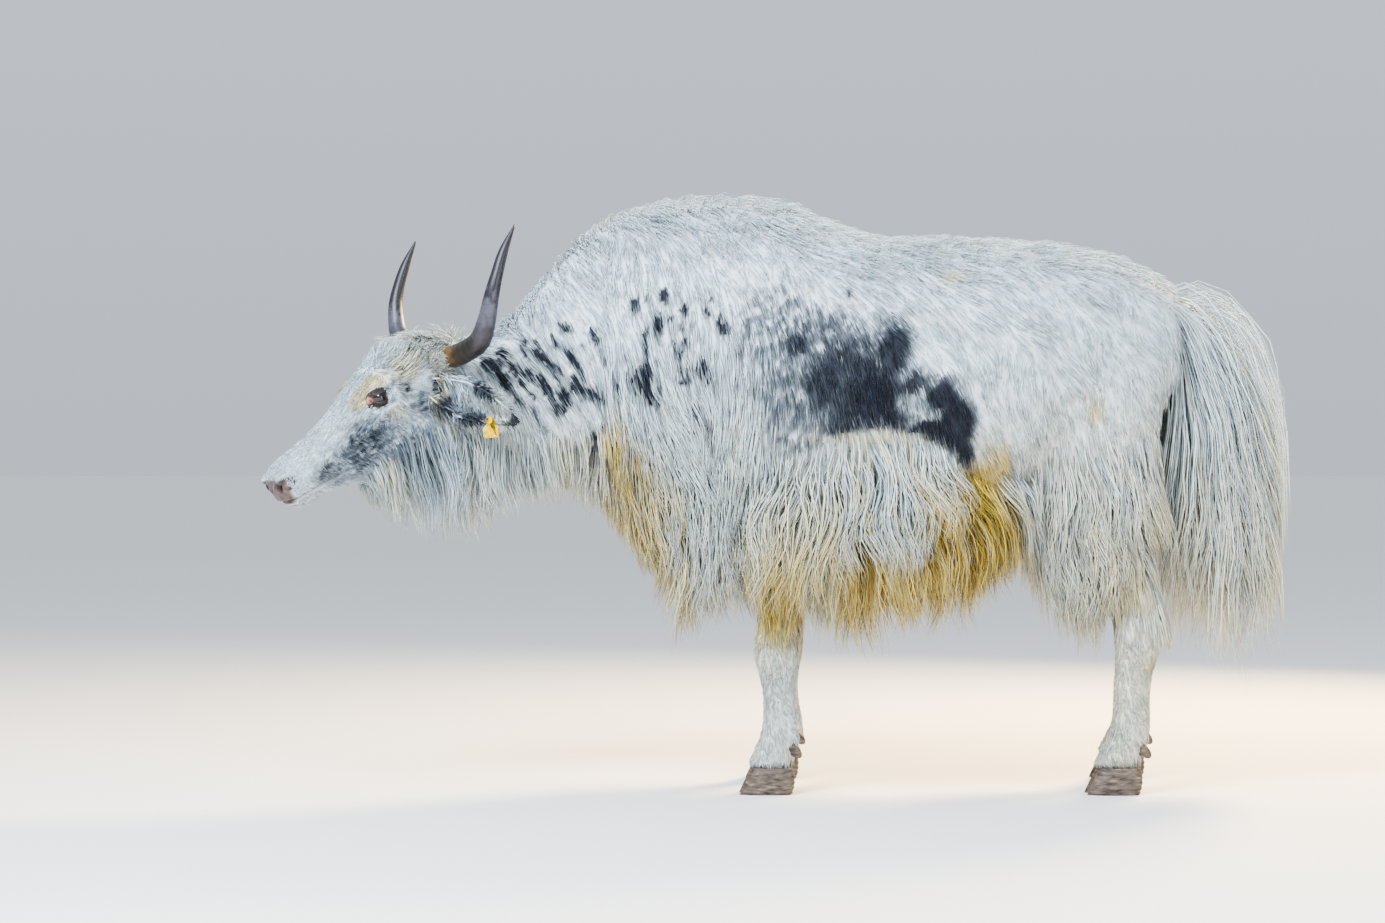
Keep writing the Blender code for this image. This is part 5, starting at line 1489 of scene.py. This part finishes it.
# %% [markdown]
# ## The finishes
# Yak hair is a fine, dull keratin fibre with a soft sheen. It is white, and each tuft differs a little
# from the next. Skin, horn, hoof and eye each get a material named for what they are. A pattern's scale
# is in waves a metre, so 38 means about 26 mm from one blotch to the next.

# %% Yak hair
CREAM = ("#9ab3c0", "#e2f1f8")
BLUE_BLACK = ("#02050d", "#0a1830")
# Gold colours: real golden stains and tones, and also the painted glow of backlight through the lower hair.
GOLDEN = ("#6d5900", "#f2cc00")
SMOKE = ("#3f4d5c", "#7c8d9c")


def hair_part(material, channel):
    """A number that a tuft carries: Red is the share along it, Blue across it, and Alpha its own number."""
    part = add(material, "Attribute", attribute_name="Hair")
    if channel == "Alpha":
        return part.outputs["Alpha"]
    return add(material, "SeparateColor", {"Color": part.outputs["Color"]}).outputs[channel]


def coat_colour(material, light, dark_hair):
    """The colour of the coat from its markings: each is a pair of hex colours, in shade and in light."""
    marks = add(material, "Attribute", attribute_name="Marks")
    parts = add(material, "SeparateColor", {"Color": marks.outputs["Color"]}).outputs
    tone = marks.outputs["Alpha"]
    mottle = speckle(material, object_place(material), 38.0, 3.0)
    shade = add(material, "Math", {0: tone, 1: mottle, 2: 0.12}, operation="MULTIPLY_ADD").outputs[0]
    colour = ramp(material, shade, ((0.08, light[0]), (0.55, light[1])))
    colour = blend(material, hair_part(material, "Red"), colour, "#332e27", "SCREEN")
    for channel, pair in (("Green", GOLDEN), ("Blue", SMOKE), ("Red", dark_hair)):
        tint = ramp(material, tone, ((0.1, pair[0]), (0.9, pair[1])))
        colour = blend(material, parts[channel], colour, tint)
    return colour


# Hair: dull fibres of keratin, unwashed. Fine streaks and a weak sheen let the eye read tufts as many hairs.
hair, hair_shader = new_material(
    "yak hair, soft undyed keratin",
    Roughness=0.55, Specular_IOR_Level=0.22, Sheen_Weight=0.12, Sheen_Roughness=0.45,
)
tuft = add(hair, "Math", {0: hair_part(hair, "Alpha"), 1: 97.0}, operation="MULTIPLY").outputs[0]
across = add(hair, "Math", {0: hair_part(hair, "Blue"), 1: 7.0, 2: tuft}, operation="MULTIPLY_ADD").outputs[0]
place = add(hair, "CombineXYZ", {"X": across, "Y": hair_part(hair, "Red")}).outputs["Vector"]
fibres = speckle(hair, place, 1.0, 1.0)  # streaks about 0.7 mm wide that run along each tuft
fibre_tone = ramp(hair, fibres, ((0.32, "#c9c4ba"), (0.56, "#ffffff")))
hair_colour = blend(hair, 1.0, coat_colour(hair, CREAM, BLUE_BLACK), fibre_tone, "MULTIPLY")
wear(hair, hair_shader, hair_colour, height=fibres, distance=0.0006, strength=0.45)

# %% Skin under the hair
# Skin: living hide with a close nap, and bare wet flesh at the nose. Pores catch the light there.
skin_finish, skin_shader = new_material(
    "yak skin with a close nap",
    Roughness=0.66, Specular_IOR_Level=0.3, Sheen_Weight=0.15, Sheen_Roughness=0.5,
)
napped = coat_colour(skin_finish, ("#a3afb8", "#dfe5e9"), ("#060910", "#121c2b"))
skin_place = object_place(skin_finish)
pores = add(skin_finish, "TexVoronoi", {"Vector": skin_place}, Scale=420.0, feature="DISTANCE_TO_EDGE")
# The pores are 2.4 mm apart, the blotches of the flesh 17 mm, and the nap's streaks 1.4 mm.
flesh = ramp(
    skin_finish, speckle(skin_finish, skin_place, 60.0, 4.0),
    ((0.35, "#3a3233"), (0.60, "#5d4d4a"), (0.80, "#8c726a")),
)
both = blend(skin_finish, hair_part(skin_finish, "Green"), napped, flesh)
# Painted shade: near black inside the nostrils and along the line of the mouth, carried in the Red channel of
# Hair.
both = blend(skin_finish, hair_part(skin_finish, "Red"), both, "#171314")  # inside the nostrils and the mouth
streaks = add(skin_finish, "Mapping", {"Vector": skin_place}, Scale=(1.0, 1.0, 0.18)).outputs["Vector"]
streaks = speckle(skin_finish, streaks, 700.0, 2.0)
relief = add(skin_finish, "Math", {0: streaks, 1: pores.outputs["Distance"]}, operation="ADD").outputs[0]
wear(skin_finish, skin_shader, both, height=relief, distance=0.0008, strength=0.5)

# %% The eyelids
def grained(name, scale, detail, stops, distance, strength, squash=None, **settings):
    """A material whose colour and relief both follow one noise. It gives back its parts."""
    material, shader = new_material(name, **settings)
    place = object_place(material)
    if squash:
        place = add(material, "Mapping", {"Vector": place}, Scale=squash).outputs["Vector"]
    grain = speckle(material, place, scale, detail)
    wear(material, shader, ramp(material, grain, stops), height=grain, distance=distance, strength=strength)
    return material, shader, grain


# Eyelid: bald dark skin in folds 9 mm wide. It frames the eye, and its front corner is pink.
LID_DARK = ((0.30, "#120f10"), (0.60, "#2f2725"), (0.80, "#57483e"))
LID_PINK = ((0.30, "#855449"), (0.70, "#bd8876"))
lid_finish, lid_shader, lid_tone = grained(
    "dark skin of the eyelid", 110.0, 4.0, LID_DARK, 0.0008, 0.4, Roughness=0.48, Specular_IOR_Level=0.4,
)
lid_corner = add(lid_finish, "Attribute", attribute_name="Corner").outputs["Fac"]
lid_dark = lid_shader.inputs["Base Color"].links[0].from_socket
wear(lid_finish, lid_shader, blend(lid_finish, lid_corner, lid_dark, ramp(lid_finish, lid_tone, LID_PINK)))


# %% The eyes
PUPIL = (0.0092, 0.0058)  # half its length and half its height


def eye_finish(word, side):
    """Wet cornea over a dark iris with fibres 1.1 mm wide and a wide level pupil. Its gleam reads as life."""
    material, shader = new_material(
        f"wet eye, {word}", Roughness=0.06, IOR=1.38, Coat_Weight=1.0, Coat_Roughness=0.02,
    )
    place, slit, _, look = eye_frame(side)
    turn = frame_matrix(place, slit, look.cross(slit), look)

    def vector(operation, one, two=None):
        inputs = {0: one} if two is None else {0: one, 1: two}
        return add(material, "VectorMath", inputs, operation=operation).outputs

    def past(value, low, high):
        return add(material, "MapRange", {"Value": value}, From_Min=low, From_Max=high).outputs["Result"]

    local = add(material, "Mapping", {"Vector": object_place(material)}, vector_type="TEXTURE")
    local.inputs["Location"].default_value = place
    local.inputs["Rotation"].default_value = turn.to_euler()
    flat = vector("MULTIPLY", local.outputs["Vector"], (1, 1, 0))["Vector"]
    wide = vector("MULTIPLY", flat, (1 / PUPIL[0], 1 / PUPIL[1], 0))["Vector"]
    pupil = vector("LENGTH", wide)["Value"]
    iris = vector("LENGTH", flat)["Value"]
    brown = ramp(material, speckle(material, flat, 900.0, 2.0), ((0.3, "#120a07"), (0.7, "#33200f")))
    white = ramp(material, iris, ((0.0140, "#150d0a"), (0.0165, "#2c1d15"), (0.0200, "#8a6a55")))
    ball_colour = blend(material, past(iris, 0.0126, 0.0140), brown, white)
    wear(material, shader, blend(material, past(pupil, 0.90, 1.06), "#07080c", ball_colour))
    return material


# %% Horn, hoof and tag
# Horn: keratin in rings, clouded every 14 mm, more so towards its tip. It is worn olive and brown at its
# root and polished dark above, so its edge shines and the head reads against the pale coat.
horn_finish, horn_shader = new_material("weathered horn", Roughness=0.42, Specular_IOR_Level=0.5)
along = add(horn_finish, "Attribute", attribute_name="Along").outputs["Fac"]
grain = speckle(horn_finish, object_place(horn_finish), 70.0, 6.0, Roughness=0.7)
shifted = add(horn_finish, "Math", {0: grain, 1: along, 2: along}, operation="MULTIPLY_ADD").outputs[0]
bands = ramp(horn_finish, shifted, (
    (0.10, "#7d673d"), (0.24, "#5d4a2b"), (0.38, "#2a2218"), (0.52, "#191615"), (0.66, "#333136"),
    (0.84, "#4b4a54"), (0.99, "#1f1d22"),
))
wear(horn_finish, horn_shader, bands, height=grain, distance=0.0009, strength=0.5)

# Hoof: horn grown downward in level ridges 5 mm apart, scuffed grey-brown by the ground.
hoof_finish = grained(
    "worn hoof horn", 190.0, 5.0, ((0.30, "#2e2824"), (0.55, "#5a4d42"), (0.75, "#8b7963")), 0.0012, 0.6,
    squash=(0.25, 0.25, 1.0), Roughness=0.55, Specular_IOR_Level=0.4,
)[0]
# Tag: yellow polyurethane, moulded, with scuffs 6 mm apart. It is the one bright spot, and it is blank.
tag_finish = grained(
    "moulded polyurethane tag", 160.0, 5.0, ((0.30, "#8f7200"), (0.50, "#d6aa00"), (0.80, "#e8bf10")),
    0.0004, 0.4, Roughness=0.42,
)[0]

for word, side in SIDES.items():
    eyes[word].data.materials.append(eye_finish(word, side))
for obj in lids.values():
    obj.data.materials.append(lid_finish)
for obj in horns:
    obj.data.materials.append(horn_finish)
for obj in hooves:
    obj.data.materials.append(hoof_finish)
tag.data.materials.append(tag_finish)
print("finishes:", [m.name for m in bpy.data.materials if m.users])

# %% [markdown]
# ## Dress the body
# The two remeshed parts become one skin, which stands for every solid of flesh in the frame. Its
# vertices take the markings, and then the coat is grown from it.

# %% One skin
def painted(obj, marks, inside=None):
    """Markings on a skin's vertices, as a hair's root has them, and how much painted shade each takes inside
    a hollow.
    """
    at = read(obj.data.vertices, "co")
    data = np.stack([*marks(at, 0.0), np.full(len(at), 0.5)], 1)
    flat = np.zeros(len(at))
    # On the head, the Red channel of Hair holds the painted shade of the nostrils and the mouth.
    paint(obj.data, data, flat if inside is None else inside, flat, flat)


def body_marks(points, jitter):
    return markings(points, False, jitter)


def head_marks(points, jitter):
    return markings(points, True, jitter)


def marks_of_ear(side):
    return lambda points, jitter: ear_marks(points, side, jitter)


painted(body, body_marks)
# The head's skin takes the painted shade of its nostrils and mouth.
painted(head, head_marks, painted_hollow_shade)
skin = joined("skin", body, head)
skin.data.shade_smooth()
skin.data.materials.append(skin_finish)
FLESH = ["torso", "neck", "head", "tail"]
FLESH += [f"{leg}_leg_{word}" for leg in ("fore", "hind") for word in SIDES]
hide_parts(*FLESH)
for word, side in SIDES.items():
    painted(ears[word], marks_of_ear(side))
    ears[word].data.materials.append(skin_finish)
    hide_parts("ear_" + word)

# %% Hair
coats = coat_pieces("coat_body", body, body_coat, body_marks)
coats += coat_pieces("coat_head", head, head_coat, head_marks)
for word, side in SIDES.items():
    coats += coat_pieces("coat_ear_" + word, ears[word], ear_coat(side), marks_of_ear(side))
bpy.data.objects.remove(body)
bpy.data.objects.remove(head)

# %% Everything rides on the one body
pieces = [skin, tag, *ears.values(), *eyes.values(), *lids.values(), *horns, *hooves, *coats]
for obj in pieces:
    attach(obj, "root")

# %% [markdown]
# ## Stage, light and camera
# A pale floor, a large soft light beside the camera, a wide fill and a warm light from behind, which
# lights the edge of the coat as low sun does.

# %% Stage
# Floor: matt painted board, so that only the shadow shows on it.
FLOOR_SIZE = 150.0
CAMERA_AT, LENS, SENSOR = (-0.199, -7.0, 0.745), 79.1, 36.0  # metres, and millimetres of a full frame
floor_finish, floor_shader = new_material("pale studio floor", Roughness=0.9)
floor_shader.inputs["Base Color"].default_value = linear("#ebe9e5")
bm = bmesh.new()
bmesh.ops.create_grid(bm, x_segments=1, y_segments=1, size=FLOOR_SIZE)
floor = finish_piece("floor", bm, floor_finish)

world = bpy.data.worlds.new("studio")
bpy.context.scene.world = world
world.use_nodes = True
sky = world.node_tree.nodes
rise = sky.new("ShaderNodeSeparateXYZ")
shades = sky.new("ShaderNodeValToRGB")
world.node_tree.links.new(sky.new("ShaderNodeTexCoord").outputs["Generated"], rise.inputs["Vector"])
world.node_tree.links.new(rise.outputs["Z"], shades.inputs["Fac"])
world.node_tree.links.new(shades.outputs["Color"], sky["Background"].inputs["Color"])
for element, place, code in zip(shades.color_ramp.elements, (0.0, 0.35), ("#ccd4dc", "#e6eefa")):
    element.position = place
    element.color = linear(code)
sky["Background"].inputs["Strength"].default_value = 0.9


LIGHT_SPREAD = math.radians(150)  # narrower than a half turn, so no line of it shows on the floor


def area_light(name, place, target, size, power, colour):
    light = bpy.data.lights.new(name, "AREA")
    light.energy = power
    light.size = size
    light.spread = LIGHT_SPREAD
    light.color = linear(colour)[:3]
    obj = placed(name, light)
    obj.location = place
    obj.rotation_euler = (Vector(target) - Vector(place)).to_track_quat("-Z", "Y").to_euler()


area_light("soft key", (-2.4, -4.0, 4.2), (0, 0, 0.8), 2.6, 500, "#eaf3ff")
area_light("fill", (3.4, -4.2, 1.4), (0.2, 0, 0.6), 3.0, 130, "#e6f0ff")
area_light("warm rim", (2.4, 2.8, 3.0), (0.3, 0, 1.0), 1.2, 560, "#ffdca6")

bpy.context.scene.view_settings.look = "AgX - Medium High Contrast"
camera = bpy.data.cameras.new("photo")
camera.sensor_width, camera.lens = SENSOR, LENS
viewer = placed("photo", camera)
viewer.location = CAMERA_AT
viewer.rotation_euler = (math.pi / 2, 0, 0)
bpy.context.scene.camera = viewer
